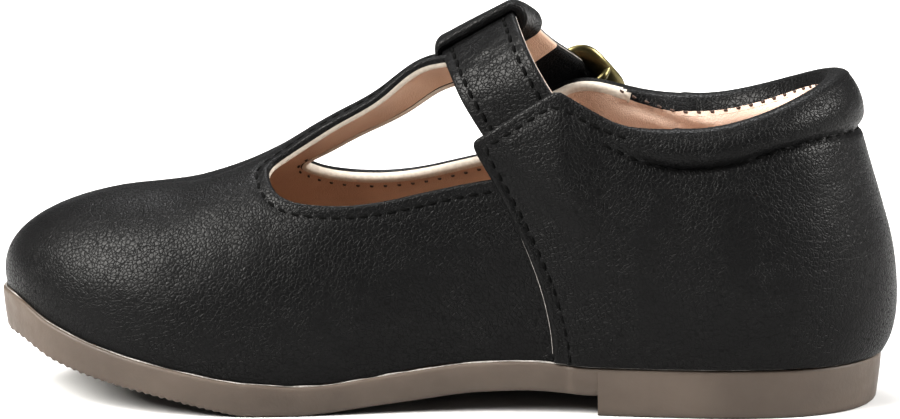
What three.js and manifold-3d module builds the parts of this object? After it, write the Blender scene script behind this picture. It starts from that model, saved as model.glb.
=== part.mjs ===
// A toddler's flat mary jane with a T-bar, right foot: a moulded sole with its heel, a hollow upper,
// an insole, an ankle strap through the T-bar's loop, and a frame buckle on the outer side.
// Millimetres. +X points to the toe, +Y to the inner (medial) side, +Z up, and the floor is at Z = 0.
// The tables are in the last's own frame, whose origin is under the middle of the foot line.
import * as THREE from "three";
import { mergeVertices } from "three/addons/utils/BufferGeometryUtils.js";
import Module from "manifold-3d";

const wasm = await Module();
wasm.setup();

// Driving dimensions

const lastLength = 162; // the foot line of the upper, heel to toe
const ballWidth = 62; // the foot line across the ball
const instepHeight = 72; // the floor to the strap's crest
const soleThickness = 5.2; // the forefoot's side wall
const heelSeat = 9; // the floor to the sole's top at the heel
const toeSpring = 12.1; // how far the sole's underside lifts at the toe
const archRise = 4.2; // how far the waist's underside lifts
const soleRim = 0.8; // the sole stands this far outside the foot line
const soleTaper = 0.9; // the side wall leans in by this much at its foot
const heelBreast = -28.6; // the heel block's front face
const heelStep = 0.3; // the heel block stands proud of the sole's side
const wall = 2; // vamp leather with its lining
const quarterStep = 1.2; // the quarters lie on the vamp with this thickness
const collarPuff = 1.5; // the padded collar swells outwards by this much
const collarPad = 1.9; // and inwards by this much
const collarDepth = 8.4; // the collar's band at the sides, from its top to its seam
const collarBackDepth = 11; // and at the back
const crestShift = 6; // the instep's crest lies this far to the inner side
const barFrontWidth = 22.5; // the T-bar where it leaves the vamp
const barTopWidth = 17; // the T-bar at its loop
const barShift = -5.2; // the T-bar's middle, towards the outer side from the crest
const barFlare = 2.2; // the T-bar's edges curve out by this much into the openings' front ends
const barFlareLength = 7;
const loopLeather = 1.6; // the loop's leather
const tabSwell = 2.3; // the inner tab swells by this much over the strap's end
const strapWidth = 15;
const strapThickness = 2;
const insoleThickness = 2.2;
const gap = 0.3; // pieces that touch keep this much between their meshes
const buckleWire = 2.2; // the buckle frame's bar
const buckleSpan = 22; // the buckle frame across the strap, outside
const buckleReach = 15.5; // the buckle frame along the strap, outside
const buckleShare = 0.762; // the middle bar's place along the strap
const loopShare = 0.385; // the loop's place along the strap
const loopRound = 2.4; // the rounding of the loop's edges
const pinRadius = 0.8; // the buckle's middle bar
const prongRadius = 0.7;
const chapeThickness = 0.9; // the folded tab that holds the middle bar
const chapeWidth = 12.4;
const chapeLength = 11;

// How finely the solids are faceted
const ribColumns = 96;
const wallRows = 13;

// The upper's ribs, from the heel's back round one side to the toe's tip. Along is a share of
// lastLength from the heel, inner, outer and half are shares of ballWidth, and the heights are
// shares of instepHeight. A rib starts on the foot line, bulges by lowOut over lowUp, and comes
// to its top from highOut and highDrop. On a crest row, half is 0 and highOut runs along the
// foot's width, highFore towards the toe.
const ribNames = [
  "along", "inner", "outer", "topAlong", "half", "rise",
  "lowOut", "lowUp", "highOut", "highDrop", "highFore",
];
const ribs = [
  [0.015, 0, 0, 0.064, 0, 0.834, 0.115, 0.17, 0.06, 0.2, 0],
  [0.046, 0.222, 0.222, 0.088, 0.19, 0.812, 0.085, 0.18, 0.06, 0.2, 0],
  [0.13, 0.345, 0.345, 0.154, 0.315, 0.757, 0.075, 0.18, 0.06, 0.2, 0],
  [0.235, 0.365, 0.37, 0.24, 0.348, 0.731, 0.07, 0.2, 0.045, 0.2, 0],
  [0.315, 0.355, 0.372, 0.325, 0.34, 0.79, 0.065, 0.25, 0.06, 0.2, 0],
  [0.352, 0.348, 0.374, 0.415, 0.25, 0.86, 0.06, 0.3, 0.12, 0.12, 0],
  [0.373, 0.342, 0.378, 0.51, 0, 0.876, 0.055, 0.36, 0.25, 0, 0.032],
  [0.47, 0.35, 0.4, 0.574, 0, 0.795, 0.055, 0.33, 0.26, 0, 0],
  [0.562, 0.39, 0.438, 0.624, 0, 0.727, 0.055, 0.3, 0.27, 0, 0],
  [0.66, 0.446, 0.474, 0.67, 0, 0.664, 0.055, 0.28, 0.25, 0, 0],
  [0.76, 0.47, 0.474, 0.715, 0, 0.604, 0.05, 0.25, 0.24, 0, 0.03],
  [0.855, 0.434, 0.412, 0.755, 0, 0.562, 0.05, 0.22, 0.2, 0, 0.06],
  [0.936, 0.33, 0.29, 0.778, 0, 0.548, 0.055, 0.2, 0.14, 0.006, 0.1],
  [0.989, 0.18, 0.14, 0.788, 0, 0.544, 0.05, 0.18, 0.07, 0.01, 0.12],
  [1.007, 0.022, -0.022, 0.79, 0, 0.543, 0.048, 0.175, 0, 0.012, 0.125],
].map((row) => Object.fromEntries(row.map((value, i) => [ribNames[i], value])));
const quarterRib = 6; // the quarters' front edges follow this rib
const crestRib = 6; // from this rib to the toe, both sides' ribs meet on the crest

// The sole along its length: spring is a share of toeSpring, arch of archRise, and seat goes from
// the forefoot's thickness, 0, to the heel seat's height, 1.
const soleRows = [
  { along: 0, spring: 0, arch: 0.85, seat: 1 },
  { along: 0.2, spring: 0, arch: 0.85, seat: 0.99 },
  { along: 0.33, spring: 0, arch: 0.86, seat: 0.98 },
  { along: 0.4, spring: 0, arch: 1, seat: 1.2 },
  { along: 0.46, spring: 0, arch: 0.9, seat: 1.11 },
  { along: 0.52, spring: 0, arch: 0.6, seat: 0.78 },
  { along: 0.58, spring: 0, arch: 0.32, seat: 0.42 },
  { along: 0.63, spring: 0, arch: 0.08, seat: 0.13 },
  { along: 0.66, spring: 0, arch: 0, seat: 0.1 },
  { along: 0.71, spring: 0, arch: 0, seat: 0.27 },
  { along: 0.735, spring: 0.045, arch: 0, seat: 0.26 },
  { along: 0.765, spring: 0.13, arch: 0, seat: 0.22 },
  { along: 0.82, spring: 0.29, arch: 0, seat: 0.2 },
  { along: 0.88, spring: 0.45, arch: 0, seat: 0.32 },
  { along: 0.94, spring: 0.65, arch: 0, seat: 0.5 },
  { along: 1, spring: 0.91, arch: 0, seat: 0.69 },
];

// The top edges of the sides, as seen from the side: along is a share of lastLength and rise of
// instepHeight. They run from the T-bar's openings back over the quarters' tabs to the collar.
const innerEdge = [
  { along: 0.7, rise: 0.66 },
  { along: 0.697, rise: 0.6 },
  { along: 0.692, rise: 0.574 },
  { along: 0.681, rise: 0.548 },
  { along: 0.66, rise: 0.532 },
  { along: 0.625, rise: 0.526 },
  { along: 0.595, rise: 0.528 },
  { along: 0.56, rise: 0.538 },
  { along: 0.515, rise: 0.562 },
  { along: 0.457, rise: 0.59 },
  { along: 0.466, rise: 0.688 },
  { along: 0.371, rise: 0.825 },
  { along: 0.347, rise: 0.795 },
  { along: 0.318, rise: 0.757 },
  { along: 0.3, rise: 0.741 },
  { along: 0.278, rise: 0.7331 },
  { along: 0.24, rise: 0.7311 },
];
const outerEdge = [
  { along: 0.69, rise: 0.66 },
  { along: 0.682, rise: 0.6 },
  { along: 0.672, rise: 0.572 },
  { along: 0.655, rise: 0.548 },
  { along: 0.63, rise: 0.533 },
  { along: 0.6, rise: 0.526 },
  { along: 0.57, rise: 0.528 },
  { along: 0.54, rise: 0.538 },
  { along: 0.5, rise: 0.56 },
  { along: 0.457, rise: 0.585 },
  { along: 0.462, rise: 0.655 },
  { along: 0.4, rise: 0.735 },
  { along: 0.37, rise: 0.765 },
  { along: 0.34, rise: 0.768 },
  { along: 0.31, rise: 0.75 },
  { along: 0.278, rise: 0.735 },
  { along: 0.24, rise: 0.7311 },
];

// The strap's middle line from under the inner tab over the instep to its tip on the outer side,
// as shares of lastLength, ballWidth and instepHeight, with the lean of its width.
const strapRows = [
  { along: 0.392, side: 0.336, rise: 0.685, leanX: 0.84, leanY: -0.2, leanZ: -0.48 },
  { along: 0.413, side: 0.316, rise: 0.75, leanX: 0.85, leanY: -0.19, leanZ: -0.47 },
  { along: 0.438, side: 0.278, rise: 0.835, leanX: 0.86, leanY: -0.14, leanZ: -0.47 },
  { along: 0.455, side: 0.19, rise: 0.9, leanX: 0.86, leanY: -0.1, leanZ: -0.5 },
  { along: 0.465, side: 0.045, rise: 0.926, leanX: 0.88, leanY: 0, leanZ: -0.47 },
  { along: 0.455, side: -0.12, rise: 0.893, leanX: 0.87, leanY: 0.06, leanZ: -0.46 },
  { along: 0.43, side: -0.287, rise: 0.815, leanX: 0.87, leanY: 0.14, leanZ: -0.42 },
  { along: 0.395, side: -0.434, rise: 0.732, leanX: 0.87, leanY: 0.17, leanZ: -0.41 },
  { along: 0.359, side: -0.493, rise: 0.63, leanX: 0.87, leanY: 0.14, leanZ: -0.43 },
  { along: 0.327, side: -0.482, rise: 0.528, leanX: 0.88, leanY: 0.1, leanZ: -0.47 },
  { along: 0.301, side: -0.452, rise: 0.445, leanX: 0.88, leanY: 0.06, leanZ: -0.47 },
];

// Curves

const at = (along) => (along - 0.5) * lastLength;

// Slopes of a smooth curve through values; a closed one wraps round.
function slopes(values, closed) {
  const n = values.length;
  const m = values.map(() => 0);
  for (let pass = 0; pass < 60; pass++) {
    for (let i = 0; i < n; i++) {
      if (!closed && (i === 0 || i === n - 1)) {
        const inward = i === 0 ? 1 : n - 2;
        m[i] = (3 * (values[i === 0 ? 1 : n - 1] - values[i === 0 ? 0 : n - 2]) - m[inward]) / 2;
        continue;
      }
      const next = (i + 1) % n;
      const last = (i + n - 1) % n;
      m[i] = (3 * (values[next] - values[last]) - m[next] - m[last]) / 4;
    }
  }
  return m;
}

function hermite(a, b, slopeA, slopeB, f) {
  const f2 = f * f;
  const f3 = f2 * f;
  return (
    (2 * f3 - 3 * f2 + 1) * a + (f3 - 2 * f2 + f) * slopeA + (3 * f2 - 2 * f3) * b + (f3 - f2) * slopeB
  );
}

// A value from a table that is read by its along column, with no overshoot between rows.
function readTable(rows, name, along) {
  const key = (row) => row.along;
  const x = THREE.MathUtils.clamp(along, key(rows[0]), key(rows[rows.length - 1]));
  let i = 0;
  while (i < rows.length - 2 && x > key(rows[i + 1])) i++;
  const chord = (k) => (rows[k + 1][name] - rows[k][name]) / (key(rows[k + 1]) - key(rows[k]));
  const slope = (k) => {
    if (k === 0 || k === rows.length - 1) return 0;
    const before = chord(k - 1);
    const after = chord(k);
    return before * after <= 0 ? 0 : (2 * before * after) / (before + after);
  };
  const span = key(rows[i + 1]) - key(rows[i]);
  const f = (x - key(rows[i])) / span;
  return hermite(rows[i][name], rows[i + 1][name], slope(i) * span, slope(i + 1) * span, f);
}

const soleUnder = (x) => {
  const along = x / lastLength + 0.5;
  return toeSpring * readTable(soleRows, "spring", along) + archRise * readTable(soleRows, "arch", along);
};
const soleTop = (x) => {
  const along = x / lastLength + 0.5;
  const seat = readTable(soleRows, "seat", along) * (heelSeat - soleThickness);
  return soleThickness + seat + toeSpring * readTable(soleRows, "spring", along);
};

// The upper's own form: a closed round of ribs, each a cubic curve from the foot line to its top

const lastRow = ribs.length - 1;
const round = 2 * lastRow; // the inner side is 0 to lastRow, and the outer side runs back to the heel

function ribPoints(index) {
  const inner = index <= lastRow;
  const row = ribs[inner ? index : round - index];
  const side = inner ? 1 : -1;
  const footX = at(row.along);
  const footY = side * (inner ? row.inner : row.outer) * ballWidth;
  const onCrest = row.half === 0 && index !== 0;
  const topY = side * row.half * ballWidth + (onCrest ? crestShift : 0);
  const foot = new THREE.Vector3(footX, footY, soleTop(footX) + gap);
  const top = new THREE.Vector3(at(row.topAlong), topY, row.rise * instepHeight);
  return { row, side, foot, top };
}

const ribTable = Array.from({ length: round }, (_, index) => ribPoints(index));
const footOutline = ribTable.map((rib) => rib.foot);
const controls = ribTable.map(({ row, side, foot, top }, index) => {
  const before = footOutline[(index + round - 1) % round];
  const after = footOutline[(index + 1) % round];
  const out = new THREE.Vector3(before.y - after.y, after.x - before.x, 0).normalize();
  const low = foot.clone().addScaledVector(out, row.lowOut * ballWidth);
  low.z += row.lowUp * instepHeight;
  const onCrest = row.half === 0 && index !== 0;
  const high = top.clone();
  if (onCrest) high.y += side * row.highOut * ballWidth;
  else high.addScaledVector(out, row.highOut * ballWidth);
  high.x += row.highFore * lastLength;
  high.z -= row.highDrop * instepHeight;
  return [foot, low, high, top];
});

const controlCurves = [0, 1, 2, 3].map((k) =>
  ["x", "y", "z"].map((axis) => {
    const values = controls.map((rib) => rib[k][axis]);
    return { values, slopes: slopes(values, true) };
  }),
);

// A point of the form at rib position u (0 to round) and height share t along the rib.
function formPoint(u, t) {
  const wrapped = ((u % round) + round) % round;
  const i = Math.floor(wrapped) % round;
  const next = (i + 1) % round;
  const f = wrapped - Math.floor(wrapped);
  const s = 1 - t;
  const weights = [s * s * s, 3 * s * s * t, 3 * s * t * t, t * t * t];
  const out = [0, 0, 0];
  for (let k = 0; k < 4; k++)
    for (let axis = 0; axis < 3; axis++) {
      const { values, slopes: turns } = controlCurves[k][axis];
      const onCrest = k === 3 && axis === 1 && isCrest(wrapped);
      const value = onCrest ? crestShift : hermite(values[i], values[next], turns[i], turns[next], f);
      out[axis] += weights[k] * value;
    }
  return new THREE.Vector3(...out);
}

// Where the ribs of both sides meet on the crest
const isCrest = (u) => Math.min(u, round - u) >= crestRib;

const probe = 0.01;
const levelFoot = 0.12; // near the foot line the wall is measured level, so that it sits on the sole
function formNormal(u, t) {
  const low = Math.max(0, t - probe);
  const high = Math.min(1, t + probe);
  const up = formPoint(u, high).sub(formPoint(u, low));
  const along = formPoint(u + probe, (low + high) / 2).sub(formPoint(u - probe, (low + high) / 2));
  const normal = along.cross(up).normalize().negate();
  normal.z *= smooth(t / levelFoot);
  return normal.normalize();
}

const smooth = (f) => {
  const c = THREE.MathUtils.clamp(f, 0, 1);
  return c * c * (3 - 2 * c);
};

// How far round the collar a rib lies: 1 at the heel, fading out before the tabs.
const collarBackRibs = 2;
const collarEnd = 4.1;
const collarFade = 1.1;
function collarShare(u) {
  const fromHeel = Math.min(u, round - u);
  return 1 - smooth((fromHeel - (collarEnd - collarFade)) / collarFade);
}

// The padded collar's swelling, from its seam, 0, to the top edge, 1.
function puffShape(share) {
  return share <= 0 ? 0 : Math.sin(Math.PI * Math.min(share, 1) ** 0.8) ** 0.8;
}

function ribLength(u) {
  let length = 0;
  let last = formPoint(u, 0);
  for (let k = 1; k <= 12; k++) {
    const p = formPoint(u, k / 12);
    length += p.distanceTo(last);
    last = p;
  }
  return length;
}

// Solids

function solidFrom(positions, triangles) {
  const geometry = new THREE.BufferGeometry();
  geometry.setAttribute("position", new THREE.Float32BufferAttribute(positions, 3));
  geometry.setIndex(triangles);
  return solidOf(geometry);
}

function solidOf(geometry) {
  const bare = geometry.clone();
  bare.deleteAttribute("normal");
  bare.deleteAttribute("uv");
  const merged = mergeVertices(bare, 1e-4);
  return new wasm.Manifold(
    new wasm.Mesh({
      numProp: 3,
      vertProperties: merged.attributes.position.array,
      triVerts: new Uint32Array(merged.index.array),
    }),
  );
}

function meshOf(name, solid, material) {
  const made = solid.getMesh();
  const geometry = new THREE.BufferGeometry();
  geometry.setAttribute("position", new THREE.BufferAttribute(made.vertProperties, 3));
  geometry.setIndex(new THREE.BufferAttribute(made.triVerts, 1));
  geometry.computeVertexNormals();
  const mesh = new THREE.Mesh(geometry, material);
  mesh.name = name;
  return mesh;
}

// A closed skin over rings of points: each ring joins the next and the last joins the first,
// apart from the quads that are left open for points that meet.
function torusOf(rings, open = () => false) {
  const n = rings[0].length;
  const positions = rings.flat().flatMap((p) => [p.x, p.y, p.z]);
  const triangles = [];
  rings.forEach((_, r) => {
    const a = r * n;
    const b = ((r + 1) % rings.length) * n;
    for (let i = 0; i < n; i++) {
      const j = (i + 1) % n;
      if (!open(r, i, j)) triangles.push(a + i, a + j, b + j, a + i, b + j, b + i);
    }
  });
  return outward(positions, triangles);
}

// A closed skin over rings with a flat ladder of rungs at both ends. Point i of a ring and its
// mirror across the shoe make one rung.
function stackOf(rings) {
  const n = rings[0].length;
  const positions = rings.flat().flatMap((p) => [p.x, p.y, p.z]);
  const triangles = [];
  for (let r = 0; r < rings.length - 1; r++)
    for (let i = 0; i < n; i++) {
      const j = (i + 1) % n;
      const a = r * n;
      const b = a + n;
      triangles.push(a + i, a + j, b + j, a + i, b + j, b + i);
    }
  const cap = (start, flip) => {
    for (let i = 0; i < n / 2; i++) {
      const mirror = (k) => (n - k) % n;
      const corners = [i, i + 1, mirror(i + 1), mirror(i)].map((k) => start + k);
      const halves = [
        [corners[0], corners[1], corners[2]],
        [corners[0], corners[2], corners[3]],
      ];
      for (const half of halves)
        if (new Set(half).size === 3) triangles.push(...(flip ? half.reverse() : half));
    }
  };
  cap(0, true);
  cap((rings.length - 1) * n, false);
  return outward(positions, triangles);
}

function outward(positions, triangles) {
  const made = solidFrom(positions, triangles);
  if (made.volume() > 0) return made;
  const turned = [];
  for (let i = 0; i < triangles.length; i += 3) turned.push(triangles[i], triangles[i + 2], triangles[i + 1]);
  return solidFrom(positions, turned);
}

// A straight prism along Y over an outline of [x, z] points.
function sidePrism(outline, fromY, toY) {
  const shape = new THREE.Shape(outline.map(([x, z]) => new THREE.Vector2(x, z)));
  const geometry = new THREE.ExtrudeGeometry(shape, { depth: toY - fromY, bevelEnabled: false });
  geometry.rotateX(Math.PI / 2);
  geometry.translate(0, toY, 0);
  return solidOf(geometry);
}

// A straight prism along Z over an outline of [x, y] points.
function planPrism(outline, fromZ, toZ) {
  const shape = new THREE.Shape(outline.map(([x, y]) => new THREE.Vector2(x, y)));
  const geometry = new THREE.ExtrudeGeometry(shape, { depth: toZ - fromZ, bevelEnabled: false });
  geometry.translate(0, 0, fromZ);
  return solidOf(geometry);
}

// The foot line moved outwards by a distance, at n places round it.
function outlineAt(outwardBy, n) {
  return Array.from({ length: n }, (_, i) => {
    const u = (i / n) * round;
    const p = formPoint(u, 0);
    const along = formPoint(u + probe, 0).sub(formPoint(u - probe, 0));
    const out = new THREE.Vector3(-along.y, along.x, 0).normalize();
    return p.addScaledVector(out, outwardBy);
  });
}

// Sole: one moulding with its heel block

function buildSole() {
  const top = outlineAt(soleRim, ribColumns);
  const ring = (inset, height) =>
    outlineAt(soleRim - inset, ribColumns).map((p, i) => new THREE.Vector3(p.x, p.y, height(top[i].x)));
  const edge = 0.9; // the lower edge's rounding
  const slab = stackOf([
    ring(0, soleTop),
    ring(soleTaper * 0.4, (x) => THREE.MathUtils.lerp(soleTop(x), soleUnder(x), 0.55)),
    ring(soleTaper * 0.8, (x) => soleUnder(x) + edge),
    ring(soleTaper + edge, soleUnder),
  ]);
  const heelRing = (inset, z) =>
    outlineAt(soleRim + heelStep - inset, ribColumns).map((p) => new THREE.Vector3(p.x, p.y, z));
  const blockTop = heelSeat - 3.2;
  const block = stackOf([
    heelRing(heelStep, blockTop),
    heelRing(soleTaper * 0.4, blockTop - 1.2),
    heelRing(soleTaper, edge * 0.5),
    heelRing(soleTaper + edge * 0.6, 0),
  ]);
  const front = lastLength;
  const away = sidePrism(
    [
      [heelBreast, -front],
      [front, -front],
      [front, front],
      [heelBreast + 1.2, front],
      [heelBreast, 0],
    ],
    -front,
    front,
  );
  return slab.add(block.subtract(away));
}

// Insole: a thin foot bed inside the upper's wall

function buildInsole() {
  const inset = wall + gap + 0.9;
  const ring = (extra, lift) => {
    const outline = outlineAt(-inset - extra, ribColumns / 2);
    return outline.map((p) => new THREE.Vector3(p.x, p.y, soleTop(p.x) + gap + lift));
  };
  return stackOf([ring(0.4, 0), ring(0, 0.5), ring(0, insoleThickness - 0.5), ring(0.5, insoleThickness)]);
}

// Upper: vamp, T-bar, quarters and padded collar in one hollow wall

// The share of a rib at which the collar's band starts
function collarSeam(u) {
  const fromHeel = Math.min(u, round - u);
  const depth = THREE.MathUtils.lerp(collarBackDepth, collarDepth, smooth(fromHeel / collarBackRibs));
  return 1 - depth / ribLength(u);
}

function wallRowShares(u) {
  const seam = collarSeam(u);
  const share = collarShare(u);
  const even = Array.from({ length: wallRows }, (_, k) => k / (wallRows - 1));
  const below = wallRows - 6;
  const banded = even.map((_, k) =>
    k <= below ? (k / below) * seam : seam + ((k - below) / (wallRows - 1 - below)) * (1 - seam),
  );
  return even.map((t, k) => THREE.MathUtils.lerp(t, banded[k], share));
}

const isQuarter = (u) => Math.min(u, round - u) < quarterRib;

// The inner tab's swelling over the strap's sewn end
function tabRise(u, t) {
  const start = { rib: 3.9, share: 0.42 };
  return u < quarterRib ? tabSwell * smooth((u - start.rib) / 0.6) * smooth((t - start.share) / 0.2) : 0;
}

function buildUpperWall() {
  const places = [];
  for (let i = 0; i < ribColumns; i++) places.push((i / ribColumns) * round);
  const edges = [quarterRib, round - quarterRib];
  for (const edge of edges) places.push(edge - 0.03, edge + 0.03);
  places.sort((a, b) => a - b);
  const kept = places.filter((u) => {
    const from = Math.min(...edges.map((edge) => Math.abs(u - edge)));
    return from >= 0.1 || Math.abs(from - 0.03) < 1e-9;
  });
  const columns = kept.map((u) => {
    const seam = collarSeam(u);
    return wallRowShares(u).map((t) => {
      const point = formPoint(u, t);
      const normal = formNormal(u, t);
      if (t === 1 && isCrest(u)) normal.add(formNormal(round - u, t)).normalize();
      const puff = puffShape((t - seam) / (1 - seam)) * collarShare(u);
      const out = puff * collarPuff + (isQuarter(u) ? quarterStep : 0) + tabRise(u, t);
      return {
        outer: point.clone().addScaledVector(normal, out),
        inner: point.clone().addScaledVector(normal, -wall - puff * collarPad),
      };
    });
  });
  const rings = [];
  for (let k = 0; k < wallRows; k++) rings.push(columns.map((c) => c[k].outer));
  for (let k = wallRows - 1; k >= 0; k--) rings.push(columns.map((c) => c[k].inner));
  return torusOf(rings, (ring, i, j) => ring === wallRows - 1 && isCrest(kept[i]) && isCrest(kept[j]));
}

// The T-bar's edges seen from above, with the openings' round front ends
function barHalf(x) {
  const front = at(0.7);
  const back = at(0.52);
  const f = (x - back) / (front - back);
  const flare = barFlare * Math.max(0, 1 + (x - front) / barFlareLength) ** 2;
  return THREE.MathUtils.lerp(barTopWidth, barFrontWidth, THREE.MathUtils.clamp(f, 0, 1)) / 2 + flare;
}
const barMiddle = () => crestShift + barShift;

function openingCutter(edge, side) {
  const far = ballWidth;
  const high = instepHeight * 1.6;
  const outline = edge.map((row) => [at(row.along), row.rise * instepHeight]);
  outline.push([at(0.24), high], [outline[0][0], high]);
  const slab = sidePrism(outline, side > 0 ? 0 : -far, side > 0 ? far : 0);
  const xs = Array.from({ length: 13 }, (_, i) => THREE.MathUtils.lerp(at(0.2), outline[0][0] + 1, i / 12));
  const inward = xs.map((x) => [x, barMiddle() + side * barHalf(x)]);
  const plan = [...inward, [xs[xs.length - 1], side * far], [xs[0], side * far]];
  if (side < 0) plan.reverse();
  return slab.intersect(planPrism(plan, 0, high));
}

// Strap

const strapCurve = new THREE.CatmullRomCurve3(
  strapRows.map((row) => new THREE.Vector3(at(row.along), row.side * ballWidth, row.rise * instepHeight)),
);
const leanCurve = new THREE.CatmullRomCurve3(
  strapRows.map((row) => new THREE.Vector3(row.leanX, row.leanY, row.leanZ)),
);
const strapLength = strapCurve.getLength();

// The strap's own axes at a share of its length: along it, across it and away from the foot
function strapAxes(share) {
  const centre = strapCurve.getPointAt(share);
  const along = strapCurve.getTangentAt(share).normalize();
  const across = leanCurve.getPoint(strapCurve.getUtoTmapping(share));
  across.addScaledVector(along, -across.dot(along)).normalize();
  const away = new THREE.Vector3().crossVectors(along, across).normalize();
  return { centre, along, across, away };
}

// A point beside the strap's middle line: so far across it, and so far off the foot
function besideStrap(share, across, away) {
  const axes = strapAxes(share);
  return axes.centre.addScaledVector(axes.across, across).addScaledVector(axes.away, away);
}

// The strap rises over the buckle's middle bar and dips again under the frame's two ends.
function strapHump(share) {
  const from = Math.abs(share - buckleShare) * strapLength;
  return strapRise * (1 - smooth(from / frameHalf.along));
}

function bandRing(share, width, thickness, corner = 0.5) {
  const w = width / 2;
  const h = thickness / 2;
  const c = Math.min(corner, h * 0.9);
  const section = [
    [-w + c, -h],
    [w - c, -h],
    [w, -h + c],
    [w, h - c],
    [w - c, h],
    [-w + c, h],
    [-w, h - c],
    [-w, -h + c],
  ];
  const lift = strapHump(share);
  return section.map(([a, b]) => besideStrap(share, a, b + lift));
}

// A bar skinned over rings of a few points, with flat ends. A section that isn't convex is given
// in its own plane too, for the ends.
function barOf(rings, section) {
  const n = rings[0].length;
  const positions = rings.flat().flatMap((p) => [p.x, p.y, p.z]);
  const triangles = [];
  for (let r = 0; r < rings.length - 1; r++)
    for (let i = 0; i < n; i++) {
      const j = (i + 1) % n;
      const a = r * n;
      const b = a + n;
      triangles.push(a + i, a + j, b + j, a + i, b + j, b + i);
    }
  const end = (rings.length - 1) * n;
  const fan = Array.from({ length: n - 2 }, (_, i) => [0, i + 1, i + 2]);
  const flat = section?.map(([x, y]) => new THREE.Vector2(x, y));
  const cap = flat ? THREE.ShapeUtils.triangulateShape(flat, []) : fan;
  const wound = flat && THREE.ShapeUtils.isClockWise(flat) ? cap.map(([a, b, c]) => [a, c, b]) : cap;
  for (const [a, b, c] of wound) {
    triangles.push(a, c, b);
    triangles.push(end + a, end + b, end + c);
  }
  return outward(positions, triangles);
}

const strapSteps = 48;
const tipLength = 0.07; // the share of the strap that rounds off to its tip
function buildStrap(extra = 0) {
  const rings = [];
  for (let i = 0; i <= strapSteps; i++) {
    const share = i / strapSteps;
    const left = (1 - share) / tipLength;
    const tip = left < 1 ? Math.sqrt(Math.max(0.06, 1 - (1 - left) ** 2)) : 1;
    const width = strapWidth * (extra ? 1 : tip) + 2 * extra;
    rings.push(bandRing(share, width, strapThickness + 2 * extra));
  }
  return barOf(rings);
}

// The T-bar's end folds over the strap and holds it.
const loopSteps = 12;
function buildLoop() {
  const clear = gap + loopLeather;
  const half = barTopWidth / 2 / strapLength;
  const rings = [];
  for (let i = 0; i <= loopSteps; i++) {
    const share = loopShare + THREE.MathUtils.lerp(-half, half, i / loopSteps);
    rings.push(bandRing(share, strapWidth + 2 * clear, strapThickness + 2 * clear, loopRound));
  }
  return barOf(rings);
}

// Buckle: a frame with its middle bar, a prong, and a folded leather tab that holds them both.
// Its points lie beside the strap's middle line, so it follows the foot as the strap does.

const frameHalf = { along: (buckleReach - buckleWire) / 2, across: (buckleSpan - buckleWire) / 2 };
const pinClear = pinRadius + gap;
const foldRadius = pinClear + chapeThickness;
const strapRise = 1.2; // how far the middle bar lifts the strap
const pinAway = strapRise - strapThickness / 2 - gap - foldRadius;
const frameAway = strapThickness / 2 + gap + buckleWire / 2; // the frame's two ends
const railAway = -0.6; // the middles of the frame's sides
const buckleUp = strapAxes(buckleShare).away;
const shareAt = (along) => buckleShare + along / strapLength;

// A round wire swept along points, closed on itself or with flat ends
function wireOf(points, radius, sides, closed = false) {
  const count = points.length;
  const rings = points.map((p, i) => {
    const before = points[closed ? (i + count - 1) % count : Math.max(0, i - 1)];
    const after = points[closed ? (i + 1) % count : Math.min(count - 1, i + 1)];
    const along = after.clone().sub(before).normalize();
    const side = new THREE.Vector3().crossVectors(along, buckleUp).normalize();
    const up = new THREE.Vector3().crossVectors(side, along);
    return Array.from({ length: sides }, (_, k) => {
      const angle = (2 * Math.PI * (k + 0.5)) / sides;
      const ringPoint = p.clone().addScaledVector(side, radius * Math.cos(angle));
      return ringPoint.addScaledVector(up, radius * Math.sin(angle));
    });
  });
  return closed ? torusOf(rings) : barOf(rings);
}

const pinPath = (across) => [
  besideStrap(buckleShare, -across, railAway),
  besideStrap(buckleShare, 1.3 - across, pinAway),
  besideStrap(buckleShare, across - 1.3, pinAway),
  besideStrap(buckleShare, across, railAway),
];

function buildFrame() {
  const steps = 36;
  const squareness = 0.36; // 1 is an ellipse, 0 a rectangle
  const points = [];
  for (let k = 0; k < steps; k++) {
    const angle = (2 * Math.PI * k) / steps;
    const c = Math.cos(angle);
    const s = Math.sin(angle);
    const along = frameHalf.along * Math.sign(c) * Math.abs(c) ** squareness;
    const across = frameHalf.across * Math.sign(s) * Math.abs(s) ** squareness;
    const away = THREE.MathUtils.lerp(railAway, frameAway, (along / frameHalf.along) ** 2);
    points.push(besideStrap(shareAt(along), across, away));
  }
  const rim = wireOf(points, buckleWire / 2, 8, true);
  return rim.add(wireOf(pinPath(frameHalf.across), pinRadius, 8));
}

// The prong hooks round the middle bar and rests on the frame's upper end.
function buildProng(extra = 0) {
  const hookRadius = pinClear + prongRadius;
  const points = [];
  for (let k = 0; k <= 6; k++) {
    const angle = THREE.MathUtils.degToRad(THREE.MathUtils.lerp(-20, 120, k / 6));
    const along = hookRadius * Math.cos(angle);
    points.push(besideStrap(shareAt(along), 0, pinAway + hookRadius * Math.sin(angle)));
  }
  const rest = frameAway + buckleWire / 2 + gap + prongRadius;
  points.push(besideStrap(shareAt(-frameHalf.along * 0.55), 0, rest - 0.4));
  points.push(besideStrap(shareAt(-frameHalf.along), 0, rest));
  points.push(besideStrap(shareAt(-frameHalf.along - 1.6), 0, rest - 0.2));
  return wireOf(points, prongRadius + extra, 8);
}

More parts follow.
